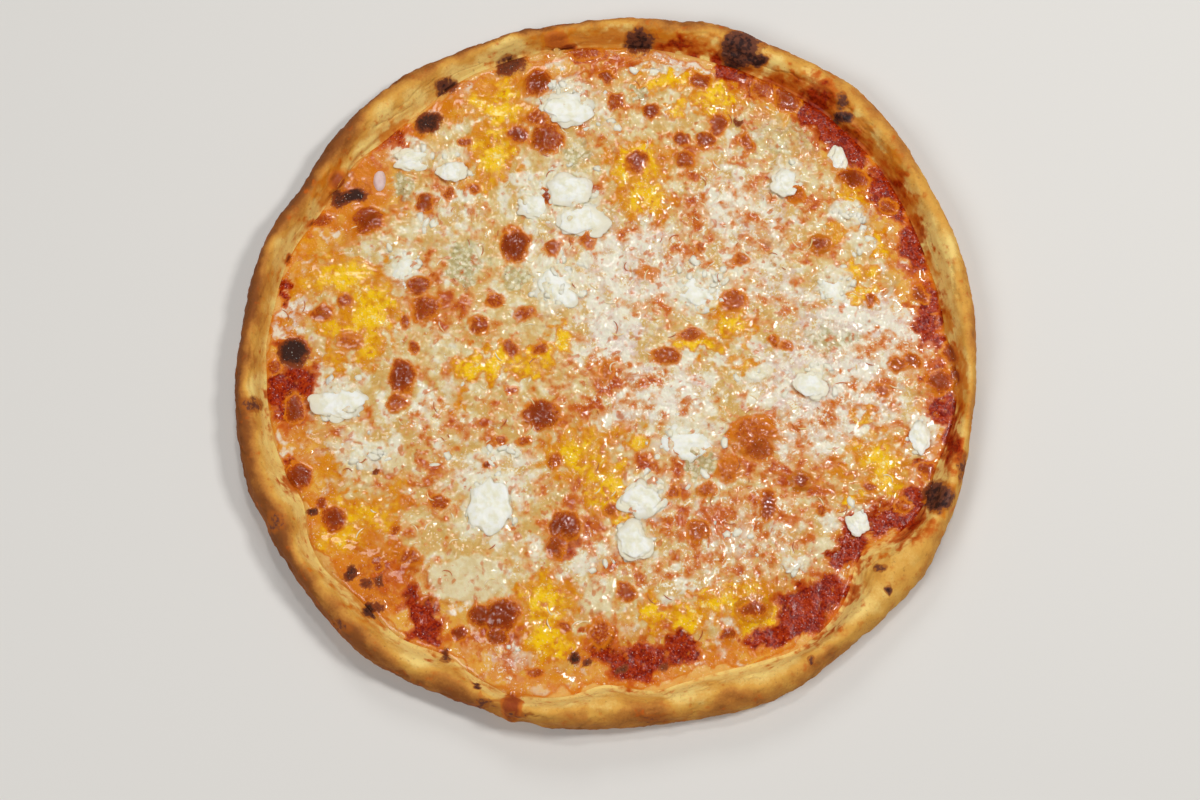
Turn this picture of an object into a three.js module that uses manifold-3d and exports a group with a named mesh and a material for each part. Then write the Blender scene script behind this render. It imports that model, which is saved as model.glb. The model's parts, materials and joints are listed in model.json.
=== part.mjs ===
// A four cheese pizza, baked on a stone: a puffed bread rim round a thin floor, red sauce, a blanket of
// melted and browned cheese, and on it lumps of fresh white cheese, pools of molten yellow cheese, flat
// slices of mozzarella and crumbled blue cheese.
//
// Millimetres, +Z up. The origin is under the middle of the pizza, on the surface that it lies on.
// Angles are in degrees, from +X (the right of the pizza) towards +Y (its back).

import * as THREE from 'three';
import { mergeVertices } from 'three/addons/utils/BufferGeometryUtils.js';
import Module from 'manifold-3d';

const wasm = await Module();
wasm.setup();

// ---------------------------------------------------------------------------------- driving dimensions

const GAP = 0.3; // air kept between any two separate pieces
const SEGMENTS = 96; // flat sides in a full turn of the bread and the sauce

// Outlines: a circle, and the swellings that leave it, each [angle, spread in degrees, height].
const CRUST_RADIUS = 160;
const CRUST_SWELLINGS = [
  [16, 14, 3.6], [48, 16, 10], [70, 9, 5.5], [86, 6, 2], [128, 9, 1.6], [149, 9, -2.8],
  [201, 16, 4.4], [230, 13, 6], [244, 6, 1.5], [263, 13, 2.4], [296, 12, 5], [323, 11, 5.6],
  [340, 8, 2],
];
const SAUCE_RADIUS = 148;
const SAUCE_SWELLINGS = [
  [45, 20, 3.5], [78, 12, 0.5], [130, 10, -6], [150, 8, -5], [206, 3, -5], [217, 5, 4],
  [234, 6, 2.5], [243, 3, -3], [255, 7, 4], [270, 4, -7], [286, 8, -4], [304, 6, 3], [321, 5, -11],
  [334, 5, 3], [352, 9, 5],
];
const CHEESE_RADIUS = 137;
const CHEESE_SWELLINGS = [
  [9, 8, -7], [44, 12, 5], [66, 8, 8], [83, 8, 7], [97, 6, 4], [119, 6, 3], [130, 5, -7],
  [144, 7, -18], [155, 5, -6], [165, 7, 9], [185, 6, -14], [201, 8, -7], [214, 6, 9], [226, 5, -5],
  [238, 5, -6], [257, 5, 8], [276, 10, -11], [305, 6, -6], [321, 8, -4], [341, 7, 9], [354, 6, 7],
];

// Bread: its floor, and the rim seen in section.
const FLOOR_THICKNESS = 4.5;
const RIM_HEIGHT = 17;
const RIM_GIRTH = 37; // the way over the rim, from its foot to the well
const RIM_HEIGHT_SWELLINGS = [
  [15, 20, 1.5], [60, 12, -2], [110, 20, -2.5], [150, 20, 1], [200, 25, 1.5], [235, 18, 0.5],
  [268, 12, 2], [300, 14, 1], [330, 12, 2],
];
const FOOT_INSET = 7; // how far the rim's foot stands in from its widest line
const WIDEST_AT = 0.38; // height of the widest line, as a share of the rim's height
const CREST_AT = 0.46; // place of the crest between the widest line and the well
const WELL_CLEARANCE = 1; // from the edge of the sauce to the foot of the rim's inner slope
const RIM_SECTION_STEPS = { foot: 3, shoulder: 5, slope: 5 };
const BREAD_UNEVENNESS = 0.9;
const BREAD_WAVELENGTH = 34;

// Folds baked into the rim: from one [angle, place across] to another, the place across running from
// 0 at the outer foot to 1 at the well.
const FOLDS = [
  { from: [262, 0.3], to: [278, 0.34], depth: 1.6, halfWidth: 2.5 },
  { from: [272, 0.72], to: [286, 0.42], depth: 1.8, halfWidth: 3 },
  { from: [246, 0.55], to: [255, 0.4], depth: 1.2, halfWidth: 2.5 },
  { from: [213, 0.3], to: [224, 0.36], depth: 1.6, halfWidth: 2.5 },
];

// Burst bubbles of the dough at the foot of the rim: [x, y, width, depth, height].
const BREAD_BUBBLES = [
  [62, 146, 16, 16, 5], [108, 115, 9, 15, 4], [143, -63, 15, 14, 5], [-120, 83, 10, 10, 3],
  [-39, -154, 9, 12, 3], [-21, 152, 11, 11, 3], [-111, 100, 12, 9, 3],
];

// Layers.
const SAUCE_THICKNESS = 1.3;
const SAUCE_UNEVENNESS = 0.45;
const SAUCE_WAVELENGTH = 16;
const SAUCE_SHELTER = 3; // how far out from the cheese the sauce stays flat
const SAUCE_MARGIN = 3; // least width of the sauce's sloping edge
const CHEESE_THICKNESS = 2.2;
const CHEESE_EDGE_THICKNESS = 0.8;
const CHEESE_ROLL = 7; // width over which the blanket thins to its edge
const CHEESE_UNEVENNESS = 0.7;
const CHEESE_WAVELENGTH = 27;
const CHEESE_STEPS = 32;

// Browned bubbles of the cheese: [x, y, width, depth, height above the blanket].
const BLISTERS = [
  [-137, -1, 12, 13, 2.6], [-72, 127, 10, 9, 2.2], [-81, 106, 11, 9, 2.2], [-31, 126, 12, 12, 2.6],
  [-29, 98, 14, 13, 2.4], [-39, 48, 12, 12, 2.6], [-27, -30, 13, 12, 2.6], [-88, -14, 10, 13, 2.2],
  [-105, 60, 13, 12, 2.4], [-127, 61, 12, 8, 2], [109, 80, 12, 9, 2.4], [81, 117, 11, 12, 2.2],
  [62, -38, 19, 18, 1.6], [26, -2, 12, 8, 1.8], [-17, -82, 16, 16, 2.4], [-42, -117, 16, 17, 2.2],
  [-130, -56, 11, 12, 2.2], [68, -70, 9, 12, 2], [39, -80, 10, 10, 1.8], [135, -13, 10, 9, 2],
];

// What lies on the blanket, the same way round: [x, y, width, depth, height above the blanket].
const WHITE_LUMPS = [
  [-18, 117, 16, 15, 6], [-17, 77, 13, 11, 5], [-11, 63, 17, 13, 6], [-32, 69, 10, 8, 4],
  [-22, 30, 14, 18, 6], [-89, 38, 9, 12, 4], [-87, 93, 13, 8, 4], [-69, 86, 9, 8, 3.5],
  [-116, -22, 15, 12, 5], [-51, -68, 15, 19, 6], [16, -65, 13, 12, 5], [11, -83, 12, 13, 6],
  [35, -39, 15, 13, 6], [42, 28, 14, 11, 5], [99, 31, 10, 13, 5], [80, 80, 9, 9, 4],
  [104, 92, 6, 10, 4], [89, -13, 9, 12, 4], [135, -37, 8, 12, 4.5], [106, -74, 7, 9, 4],
  [-102, 83, 7, 11, 4],
];
const YELLOW_POOLS = [
  [-60, 111, 27, 22, 1.5], [-47, 91, 20, 22, 1.5], [26, 125, 22, 14, 1.5], [48, 120, 20, 14, 1.4],
  [16, 77, 20, 26, 1.5], [-123, 38, 20, 24, 1.6], [-104, 19, 26, 20, 1.5], [-53, -9, 24, 17, 1.5],
  [-14, -53, 27, 21, 1.6], [52, 8, 22, 24, 1.5], [111, 45, 20, 20, 1.5], [112, -55, 20, 26, 1.6],
  [-108, -76, 32, 24, 1.6], [-24, -119, 24, 32, 1.6], [38, -112, 26, 18, 1.6], [63, -113, 20, 18, 2],
];
const MOZZARELLA_SLICES = [
  [-67, -101, 26, 20, 1.3], [-7, -107, 15, 12, 1.2], [87, -85, 14, 12, 1.2],
];
const BLUE_CRUMBLES = [
  [-91, 77, 12, 10, 3], [-57, 38, 24, 18, 3.5], [-9, 89, 14, 14, 3], [83, 97, 24, 18, 3],
  [42, -54, 12, 10, 3.5], [98, 8, 20, 14, 2.5],
];

const FINISHES = {
  bread: { color: 0xd9a566, roughness: 0.8 },
  sauce: { color: 0x8c1c0b, roughness: 0.3 },
  blanket: { color: 0xdd9a5c, roughness: 0.35 },
  white: { color: 0xf4ecd6, roughness: 0.55 },
  yellow: { color: 0xf5a81c, roughness: 0.25 },
  mozzarella: { color: 0xefe0b4, roughness: 0.3 },
  blue: { color: 0xc3bf97, roughness: 0.45 },
};

// Heights worked out from the sizes above.
const SAUCE_BOTTOM = FLOOR_THICKNESS + GAP;
const SAUCE_TOP = SAUCE_BOTTOM + SAUCE_THICKNESS;
const CHEESE_BOTTOM = SAUCE_TOP + GAP;

// --------------------------------------------------------------------------------------------- helpers

const FULL_TURN = 2 * Math.PI;

// The same stream of numbers from 0 to 1 for the same seed.
function randomStream(seed) {
  let state = seed;
  return () => {
    state = (state * 48271) % 2147483647;
    return state / 2147483647;
  };
}

// A circle with swellings, as a radius for each angle.
function outline(radius, swellings) {
  return (angle) => {
    let reach = radius;
    for (const [at, spread, height] of swellings) {
      const away = THREE.MathUtils.euclideanModulo(angle - at + 180, 360) - 180;
      reach += height * Math.exp(-((away / spread) ** 2));
    }
    return reach;
  };
}

// Soft unevenness: a function of place whose waves run in seeded directions.
function unevenness(seed, wavelength, height) {
  const random = randomStream(seed);
  const waves = [];
  for (let count = 0; count < 7; count++) {
    const tilt = Math.acos(2 * random() - 1);
    const direction = new THREE.Vector3().setFromSphericalCoords(1, tilt, FULL_TURN * random());
    const length = wavelength * (0.6 + 0.8 * random());
    waves.push({ direction: direction.multiplyScalar(FULL_TURN / length), phase: FULL_TURN * random() });
  }
  const share = height / Math.sqrt(waves.length);
  return (place) => {
    let sum = 0;
    for (const { direction, phase } of waves) {
      sum += share * Math.sin(direction.dot(place) + phase);
    }
    return sum;
  };
}

const crustRadius = outline(CRUST_RADIUS, CRUST_SWELLINGS);
const sauceRadius = outline(SAUCE_RADIUS, SAUCE_SWELLINGS);
const cheeseRadius = outline(CHEESE_RADIUS, CHEESE_SWELLINGS);
const rimHeight = outline(RIM_HEIGHT, RIM_HEIGHT_SWELLINGS);
const breadWaves = unevenness(11, BREAD_WAVELENGTH, BREAD_UNEVENNESS);
const sauceWaves = unevenness(23, SAUCE_WAVELENGTH, SAUCE_UNEVENNESS);
const cheeseWaves = unevenness(37, CHEESE_WAVELENGTH, CHEESE_UNEVENNESS);

function angleOf(x, y) {
  return (THREE.MathUtils.radToDeg(Math.atan2(y, x)) + 360) % 360;
}

// A closed geometry as a solid, its shared corners merged and its collapsed faces dropped.
function solidOf(geometry) {
  const bare = new THREE.BufferGeometry();
  bare.setAttribute('position', geometry.getAttribute('position'));
  bare.setIndex(geometry.getIndex());
  const merged = mergeVertices(bare, 1e-3);
  const corners = merged.getIndex().array;
  const faces = [];
  for (let start = 0; start < corners.length; start += 3) {
    const [a, b, c] = corners.slice(start, start + 3);
    if (a !== b && b !== c && c !== a) {
      faces.push(a, b, c);
    }
  }
  return new wasm.Manifold(new wasm.Mesh({
    numProp: 3,
    vertProperties: Float32Array.from(merged.getAttribute('position').array),
    triVerts: Uint32Array.from(faces),
  }));
}

// The largest single body of a solid, as a named mesh.
function pieceOf(name, solid, finish) {
  const bodies = solid.decompose().sort((a, b) => b.volume() - a.volume());
  const { vertProperties, triVerts } = bodies[0].getMesh();
  const geometry = new THREE.BufferGeometry();
  geometry.setAttribute('position', new THREE.BufferAttribute(vertProperties, 3));
  geometry.setIndex(new THREE.BufferAttribute(triVerts, 1));
  geometry.computeVertexNormals();
  const mesh = new THREE.Mesh(geometry, new THREE.MeshStandardMaterial({ metalness: 0, ...finish }));
  mesh.name = name;
  return mesh;
}

// A turned solid of the given number of section points; place(step, angle) says where each one lies.
// The first and the last point lie on the axis.
function turned(steps, segments, place) {
  const section = Array.from({ length: steps }, (_, step) => new THREE.Vector2(step, step));
  const geometry = new THREE.LatheGeometry(section, segments);
  const corners = geometry.getAttribute('position');
  for (let index = 0; index < corners.count; index++) {
    const turn = Math.floor(index / steps) % segments;
    const point = place(index % steps, (360 * turn) / segments);
    corners.setXYZ(index, point.x, point.y, point.z);
  }
  return solidOf(flippedOutwards(geometry));
}

// The geometry with its faces turned over where they point inwards.
function flippedOutwards(geometry) {
  const corners = geometry.getAttribute('position');
  const index = geometry.getIndex();
  const [a, b, c] = [new THREE.Vector3(), new THREE.Vector3(), new THREE.Vector3()];
  let volume = 0;
  for (let start = 0; start < index.count; start += 3) {
    a.fromBufferAttribute(corners, index.getX(start));
    b.fromBufferAttribute(corners, index.getX(start + 1));
    c.fromBufferAttribute(corners, index.getX(start + 2));
    volume += a.dot(b.cross(c));
  }
  if (volume < 0) {
    index.array.reverse();
  }
  return geometry;
}

function polar(radius, angle, height) {
  const turn = THREE.MathUtils.degToRad(angle);
  return new THREE.Vector3(radius * Math.cos(turn), radius * Math.sin(turn), height);
}

// A point of the square from -1 to 1 moved to the unit disc, its cells kept nearly even.
function squareToDisc(u, v) {
  if (u === 0 && v === 0) {
    return { share: 0, angle: 0 };
  }
  const flat = Math.abs(u) > Math.abs(v);
  const share = Math.max(Math.abs(u), Math.abs(v));
  const turn = flat ? (45 * v) / u : 90 - (45 * u) / v;
  const halfTurn = (flat ? u : v) < 0 ? 180 : 0;
  return { share, angle: (turn + halfTurn + 360) % 360 };
}

// A sheet with an even mesh on top and a plain flat underside, out to radiusAt(angle).
function blanket(steps, radiusAt, bottom, topAt) {
  const sheet = new THREE.PlaneGeometry(2, 2, steps, steps);
  const square = sheet.getAttribute('position');
  const corners = [];
  for (let index = 0; index < square.count; index++) {
    const { share, angle } = squareToDisc(square.getX(index), square.getY(index));
    const radius = radiusAt(angle);
    const place = polar(share * radius, angle, 0);
    corners.push(place.x, place.y, topAt(place, (1 - share) * radius));
  }
  const row = steps + 1;
  const border = [];
  for (let step = 0; step < steps; step++) border.push(step);
  for (let step = 0; step < steps; step++) border.push(steps + step * row);
  for (let step = steps; step > 0; step--) border.push(steps * row + step);
  for (let step = steps; step > 0; step--) border.push(step * row);
  const faces = Array.from(sheet.getIndex().array);
  const lowStart = square.count;
  const centre = lowStart + border.length;
  border.forEach((top, place) => {
    const next = (place + 1) % border.length;
    const [low, lowNext] = [lowStart + place, lowStart + next];
    corners.push(corners[3 * top], corners[3 * top + 1], bottom);
    faces.push(top, border[next], low, border[next], lowNext, low, low, lowNext, centre);
  });
  corners.push(0, 0, bottom);
  const geometry = new THREE.BufferGeometry();
  geometry.setAttribute('position', new THREE.Float32BufferAttribute(corners, 3));
  geometry.setIndex(faces);
  return solidOf(geometry);
}

// A rough ball of many flat sides, squeezed to a size, that reaches no lower than a level.
function lump({ x, y, z, width, depth, height, detail, roughness, seed, lowest }) {
  const geometry = new THREE.IcosahedronGeometry(1, detail);
  const dents = unevenness(seed, 1.5, roughness);
  const corners = geometry.getAttribute('position');
  for (let index = 0; index < corners.count; index++) {
    const ray = new THREE.Vector3().fromBufferAttribute(corners, index);
    const reach = 1 + dents(ray);
    const across = x + (ray.x * reach * width) / 2;
    const along = y + (ray.y * reach * depth) / 2;
    corners.setXYZ(index, across, along, Math.max(z + ray.z * reach * height, lowest));
  }
  return solidOf(mergeVertices(stripped(geometry), 1e-4));
}

// A geometry with nothing but its positions.
function stripped(geometry) {
  geometry.deleteAttribute('normal');
  geometry.deleteAttribute('uv');
  return geometry;
}

function joined(solids) {
  return solids.reduce((whole, solid) => whole.add(solid));
}

// ---------------------------------------------------------------------------------------------- pieces

// How deep the folds cut the rim at one place.
function foldDepth(angle, across) {
  const mmPerDegree = THREE.MathUtils.degToRad(CRUST_RADIUS);
  let deepest = 0;
  for (const { from, to, depth, halfWidth } of FOLDS) {
    const start = new THREE.Vector2(from[0] * mmPerDegree, from[1] * RIM_GIRTH);
    const end = new THREE.Vector2(to[0] * mmPerDegree, to[1] * RIM_GIRTH);
    const here = new THREE.Vector2(angle * mmPerDegree, across * RIM_GIRTH);
    const along = end.clone().sub(start);
    const share = THREE.MathUtils.clamp(here.clone().sub(start).dot(along) / along.lengthSq(), 0, 1);
    const away = here.distanceTo(start.addScaledVector(along, share));
    deepest = Math.max(deepest, depth * Math.exp(-((away / halfWidth) ** 2)));
  }
  return deepest;
}

// The rim's section at one angle, from the outer foot over the crest to the well.
function rimSection(angle) {
  const widest = crustRadius(angle);
  const well = sauceRadius(angle) + WELL_CLEARANCE;
  const height = rimHeight(angle);
  const crest = widest - CREST_AT * (widest - well);
  const { foot, shoulder, slope } = RIM_SECTION_STEPS;
  const section = [];
  for (let step = 0; step < foot; step++) {
    const turn = (Math.PI / 2) * (step / foot);
    section.push([widest - FOOT_INSET * (1 - Math.sin(turn)), WIDEST_AT * height * (1 - Math.cos(turn))]);
  }
  for (let step = 0; step < shoulder; step++) {
    const turn = (Math.PI / 2) * (step / shoulder);
    section.push([
      crest + (widest - crest) * Math.cos(turn),
      height * (WIDEST_AT + (1 - WIDEST_AT) * Math.sin(turn)),
    ]);
  }
  for (let step = 0; step <= slope; step++) {
    const share = step / slope;
    const drop = Math.cos((Math.PI / 2) * share) ** 1.3;
    section.push([crest - (crest - well) * share, FLOOR_THICKNESS + (height - FLOOR_THICKNESS) * drop]);
  }
  return section;
}

// The bread: floor and rim in one piece, flat underneath.
function bread() {
  const sectionSteps = rimSection(0).length;
  const place = (step, angle) => {
    if (step === 0) return new THREE.Vector3(0, 0, 0);
    if (step > sectionSteps) return new THREE.Vector3(0, 0, FLOOR_THICKNESS);
    const [radius, height] = rimSection(angle)[step - 1];
    const across = (step - 1) / (sectionSteps - 1);
    const swell = Math.sin(Math.PI * across);
    const shift = swell * breadWaves(polar(radius, angle, height)) - foldDepth(angle, across);
    const outwards = across < 0.5 ? 1 - 2 * across : 0;
    const lifted = Math.max(height + (1 - outwards) * shift, 0);
    return polar(radius + outwards * shift, angle, lifted);
  };
  return turned(sectionSteps + 2, SEGMENTS, place);
}

// The sauce: flat where the cheese covers it, uneven where it shows.
function sauceLayer() {
  const place = (step, angle) => {
    if (step === 0) return new THREE.Vector3(0, 0, SAUCE_BOTTOM);
    if (step === 5) return new THREE.Vector3(0, 0, SAUCE_TOP);
    const edge = sauceRadius(angle);
    if (step === 1) return polar(edge, angle, SAUCE_BOTTOM);
    const shown = Math.max(edge - cheeseRadius(angle) - SAUCE_SHELTER, SAUCE_MARGIN);
    const point = polar(edge - (shown * (step - 2)) / 2, angle, SAUCE_TOP);
    if (step === 2) point.z -= SAUCE_THICKNESS / 2;
    if (step === 3 && shown > SAUCE_MARGIN) point.z += SAUCE_UNEVENNESS + sauceWaves(point);
    return point;
  };
  return turned(6, SEGMENTS, place);
}

// Height of the melted blanket at one place, so far from its edge.
function blanketTop(place, toEdge) {
  const roll = Math.min(toEdge / CHEESE_ROLL, 1);
  const rise = (CHEESE_THICKNESS - CHEESE_EDGE_THICKNESS) * Math.sqrt(roll * (2 - roll));
  return CHEESE_BOTTOM + CHEESE_EDGE_THICKNESS + rise + roll * cheeseWaves(place);
}

function heightAt(x, y) {
  const place = new THREE.Vector3(x, y, 0);
  const toEdge = cheeseRadius(angleOf(x, y)) - Math.hypot(x, y);
  return blanketTop(place, Math.max(toEdge, 0));
}

// The domes of a list, each [x, y, width, depth, height], sunk in what they stand on.
function domes(list, { detail, roughness, seed, lowest, levelAt, grown = 0 }) {
  return list.map(([x, y, width, depth, height], index) => lump({
    x,
    y,
    z: levelAt(x, y),
    width: width + 2 * grown,
    depth: depth + 2 * grown,
    height: height + grown,
    detail,
    roughness,
    seed: seed + index,
    lowest,
  }));
}

const bubbleForm = { detail: 1, roughness: 0.06, seed: 300, lowest: 1, levelAt: () => FLOOR_THICKNESS + 4 };
const blisterForm = { detail: 1, roughness: 0.1, seed: 500, lowest: CHEESE_BOTTOM, levelAt: heightAt };
const bubbles = joined(domes(BREAD_BUBBLES, bubbleForm));
const bubbleRoom = joined(domes(BREAD_BUBBLES, { ...bubbleForm, grown: GAP }));

const sauceRoom = sauceLayer().translate([0, 0, GAP]);
const blisters = joined(domes(BLISTERS, blisterForm)).subtract(sauceRoom);

const crust = bread().add(bubbles);
const sauce = sauceLayer().subtract(bubbleRoom);
const cheese = blanket(CHEESE_STEPS, cheeseRadius, CHEESE_BOTTOM, blanketTop)
  .add(blisters)
  .subtract(bubbleRoom);

// Everything that a loose piece must stay clear of, grown by the gap. It gains each piece laid down.
let taken = blanket(
  CHEESE_STEPS,
  (angle) => cheeseRadius(angle) + GAP,
  0,
  (place, toEdge) => blanketTop(place, toEdge) + GAP,
)
  .add(joined(domes(BLISTERS, { ...blisterForm, grown: GAP })))
  .add(bubbleRoom)
  .add(sauceRoom);

const pizza = new THREE.Group();
pizza.add(pieceOf('crust', crust, FINISHES.bread));
pizza.add(pieceOf('sauce', sauce, FINISHES.sauce));
pizza.add(pieceOf('cheese', cheese, FINISHES.blanket));

// Lays the pieces of one kind on the blanket and beside what is there already.
function layDown(kind, list, finish, form) {
  const full = domes(list, { ...form, lowest: SAUCE_TOP + GAP, levelAt: heightAt });
  const room = domes(list, { ...form, lowest: SAUCE_TOP, levelAt: heightAt, grown: GAP });
  full.forEach((shape, index) => {
    const name = `${kind}_${String(index + 1).padStart(2, '0')}`;
    pizza.add(pieceOf(name, shape.subtract(taken), finish));
    taken = taken.add(room[index]);
  });
}

layDown('white_cheese', WHITE_LUMPS, FINISHES.white, { detail: 1, roughness: 0.16, seed: 700 });
layDown('blue_cheese', BLUE_CRUMBLES, FINISHES.blue, { detail: 1, roughness: 0.14, seed: 900 });
layDown('mozzarella', MOZZARELLA_SLICES, FINISHES.mozzarella, { detail: 1, roughness: 0.06, seed: 1100 });
layDown('yellow_cheese', YELLOW_POOLS, FINISHES.yellow, { detail: 1, roughness: 0.1, seed: 1300 });

// Centre the whole over the origin.
const bounds = new THREE.Box3().setFromObject(pizza);
const middle = bounds.getCenter(new THREE.Vector3());
pizza.position.set(-middle.x, -middle.y, -bounds.min.z);

export default pizza;
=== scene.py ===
# %% [markdown]
# # A four cheese pizza
# The bread, the sauce, the blanket of cheese and the pieces on it come in as plain solids at their real
# size. This lesson gives them the look of food that has just left the oven. Each cell makes one piece or
# one finish: first the camera and the light, then the bread, the sauce, the melted cheese, the white
# lumps, and last the fine things such as grated cheese.

# %% The frame
import json
import math
from functools import cached_property

import bmesh
import bpy
import numpy as np
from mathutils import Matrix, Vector, noise
from mathutils.bvhtree import BVHTree

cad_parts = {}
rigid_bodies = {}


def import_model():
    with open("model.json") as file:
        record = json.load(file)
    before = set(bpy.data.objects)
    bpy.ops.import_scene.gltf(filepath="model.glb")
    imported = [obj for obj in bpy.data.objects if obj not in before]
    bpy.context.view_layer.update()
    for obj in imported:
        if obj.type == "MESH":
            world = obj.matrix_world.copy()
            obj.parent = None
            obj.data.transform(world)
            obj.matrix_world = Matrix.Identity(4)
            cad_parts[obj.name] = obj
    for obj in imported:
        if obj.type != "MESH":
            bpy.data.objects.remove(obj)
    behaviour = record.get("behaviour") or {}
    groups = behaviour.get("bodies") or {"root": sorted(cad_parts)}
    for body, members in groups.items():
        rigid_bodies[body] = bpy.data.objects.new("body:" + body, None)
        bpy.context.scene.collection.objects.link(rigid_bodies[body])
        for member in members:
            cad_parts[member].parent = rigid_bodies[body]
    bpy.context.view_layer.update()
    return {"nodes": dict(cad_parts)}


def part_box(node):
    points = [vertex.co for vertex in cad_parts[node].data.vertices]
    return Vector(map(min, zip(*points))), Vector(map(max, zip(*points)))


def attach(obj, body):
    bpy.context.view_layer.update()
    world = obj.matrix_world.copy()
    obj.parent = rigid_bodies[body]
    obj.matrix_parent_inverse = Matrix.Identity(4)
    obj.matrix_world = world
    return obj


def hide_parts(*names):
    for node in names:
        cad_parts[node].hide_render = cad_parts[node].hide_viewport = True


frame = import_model()
MM = 0.001

# %% [markdown]
# A pizza is photographed from nearly straight above, so its round shape shows whole and the front of its
# rim shows as a thin wall. The camera could be placed by eye, but a few numbers say it exactly: how high it
# stands above the pizza, its lens, how far off it is and the point that it looks at. The same numbers tell
# where each point of the pizza falls in the picture, and every colour below is placed by that.

# %% The camera
PICTURE_WIDE, PICTURE_HIGH = 1200, 800
LENS, SENSOR = 60.0, 36.0
ELEVATION = math.radians(74)
DISTANCE = 0.8672
AIM = Vector((-0.00285, -0.0198, 0.008))
BACKWARDS = Vector((0, -math.cos(ELEVATION), math.sin(ELEVATION)))
UPWARDS = Vector((0, math.sin(ELEVATION), math.cos(ELEVATION)))
FOCAL_PIXELS = PICTURE_WIDE * LENS / SENSOR
PIXEL = DISTANCE / FOCAL_PIXELS / MM  # millimetres of pizza in one pixel of the picture

camera_data = bpy.data.cameras.new("camera")
camera_data.lens = LENS
camera_data.sensor_width = SENSOR
camera = bpy.data.objects.new("camera", camera_data)
camera.location = AIM + DISTANCE * BACKWARDS
camera.rotation_euler = (math.pi / 2 - ELEVATION, 0, 0)
bpy.context.scene.collection.objects.link(camera)
bpy.context.scene.camera = camera
bpy.context.scene.view_settings.view_transform = "Standard"


def seen(points):
    """The pixels of the picture where points fall, given in millimetres."""
    away = points * MM - np.array(camera.location)
    depth = -away @ np.array(BACKWARDS)
    across = PICTURE_WIDE / 2 + FOCAL_PIXELS * away[:, 0] / depth
    down = PICTURE_HIGH / 2 - FOCAL_PIXELS * (away @ np.array(UPWARDS)) / depth
    return across, down


print("one pixel is", round(PIXEL, 3), "mm")

# %% [markdown]
# Wet cheese is mostly seen by what it mirrors. A light that it mirrors straight into the lens would wash
# the colours out, so the large lights stand where flat cheese doesn't mirror them: a key light on the
# right, a wide soft one in front on the left, and a weaker one behind. Only a small softbox stands in the
# mirror's direction. It gives the sparkle on the bubbles.

# %% Lights
LIGHTS = [  # name, place in metres, side in metres, watts and colour
    ("key", (0.85, 0.12, 1.2), 0.25, 9, (1, 0.99, 0.975)),
    ("fill", (-0.8, -0.6, 1.2), 0.6, 8.2, (1, 0.99, 0.98)),
    ("back", (-0.15, 1.1, 1.0), 0.4, 4.4, (1, 0.99, 0.98)),
    ("softbox", (0.17, 0.52, 1.5), 0.15, 3.2, (1, 1, 1)),
]
for name, place, width, watts, colour in LIGHTS:
    light_data = bpy.data.lights.new(name, "AREA")
    light_data.shape = "SQUARE"
    light_data.size = width
    light_data.energy = watts
    light_data.color = colour
    light = bpy.data.objects.new(name, light_data)
    light.location = place
    light.rotation_euler = (-Vector(place)).to_track_quat("-Z", "Y").to_euler()
    bpy.context.scene.collection.objects.link(light)

world = bpy.data.worlds.new("room")
world.use_nodes = True
world.node_tree.nodes["Background"].inputs["Color"].default_value = (1, 0.98, 0.95, 1)
world.node_tree.nodes["Background"].inputs["Strength"].default_value = 0.12
bpy.context.scene.world = world
print("lights:", [name for name, *_ in LIGHTS])

# %% [markdown]
# Food is uneven at every size, so nearly every shape and colour here asks for noise. Blender's own noise
# is read at each point of a mesh. It is scaled so that its spread is one, which makes a threshold mean the
# same share of the surface each time. Crumbly cheese asks for rounded blocks instead, which Voronoi noise
# gives. A blot is a soft spot of a given place and size in the picture, and its edge is frayed by shifting
# the picture's pixels with noise.

# %% Noise and blots
def cloud(points, size, seed, octaves=3):
    """Uneven values of spread one at points in millimetres, with lumps of about the given size."""
    shift = Vector((seed * 13.7, seed * 7.3, seed * 3.1))
    values = np.array([noise.fractal(Vector(point) / size + shift, 1, 2, octaves) for point in points])
    return (values - values.mean()) / values.std()


def pebbles(points, size, seed):
    """Rounded blocks of about the given size: 1 in their middles, 0 in the seams between them."""
    shift = Vector((seed * 5.3, seed * 9.1, seed * 2.7))
    near = np.array([noise.voronoi(Vector(point) / size + shift)[0][0] for point in points])
    return step(0.75, 0.1, near)


def step(low, high, values):
    """0 below low, 1 above high, and a smooth rise between them."""
    share = np.clip((values - low) / (high - low), 0, 1)
    return share * share * (3 - 2 * share)


class View:
    """Where the points of a mesh fall in the picture, with edges that noise can fray."""

    def __init__(self, points):
        self.across, self.down = seen(points)
        self.fray_across, self.fray_down = (
            cloud(points, 6, seed) + 0.4 * cloud(points, 2.5, seed + 1, 2) for seed in (1, 3)
        )

    def nearness(self, x, y, wide, high, fray=0.0):
        """1 at the middle of a spot, 0 at its edge and below that outside."""
        across = (self.across + fray * self.fray_across - x) / (wide / 2)
        down = (self.down + fray * self.fray_down - y) / (high / 2)
        return 1 - np.hypot(across, down)

    def blots(self, spots, soft=0.3, fray=2.0):
        """The strongest of many spots, each (x, y, wide, high, strength)."""
        strongest = np.zeros(len(self.across))
        for x, y, wide, high, strength in spots:
            spot = strength * step(-soft, soft, self.nearness(x, y, wide, high, fray))
            strongest = np.maximum(strongest, spot)
        return strongest

    def domes(self, spots, steepness):
        """Round bubbles over spots: heights in millimetres, a little sunk at the top."""
        heights = np.zeros(len(self.across))
        for x, y, wide, high, strength in spots:
            near = np.clip(self.nearness(x, y, 1.1 * wide, 1.1 * high, 0.7), 0, 1)
            top = steepness * min(wide, high) * PIXEL / 2 * (0.5 + 0.5 * strength)
            dome = np.sqrt(near * (2 - near)) * (1 - 0.2 * step(0.7, 1, near))
            heights = np.maximum(heights, top * dome)
        return heights


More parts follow.
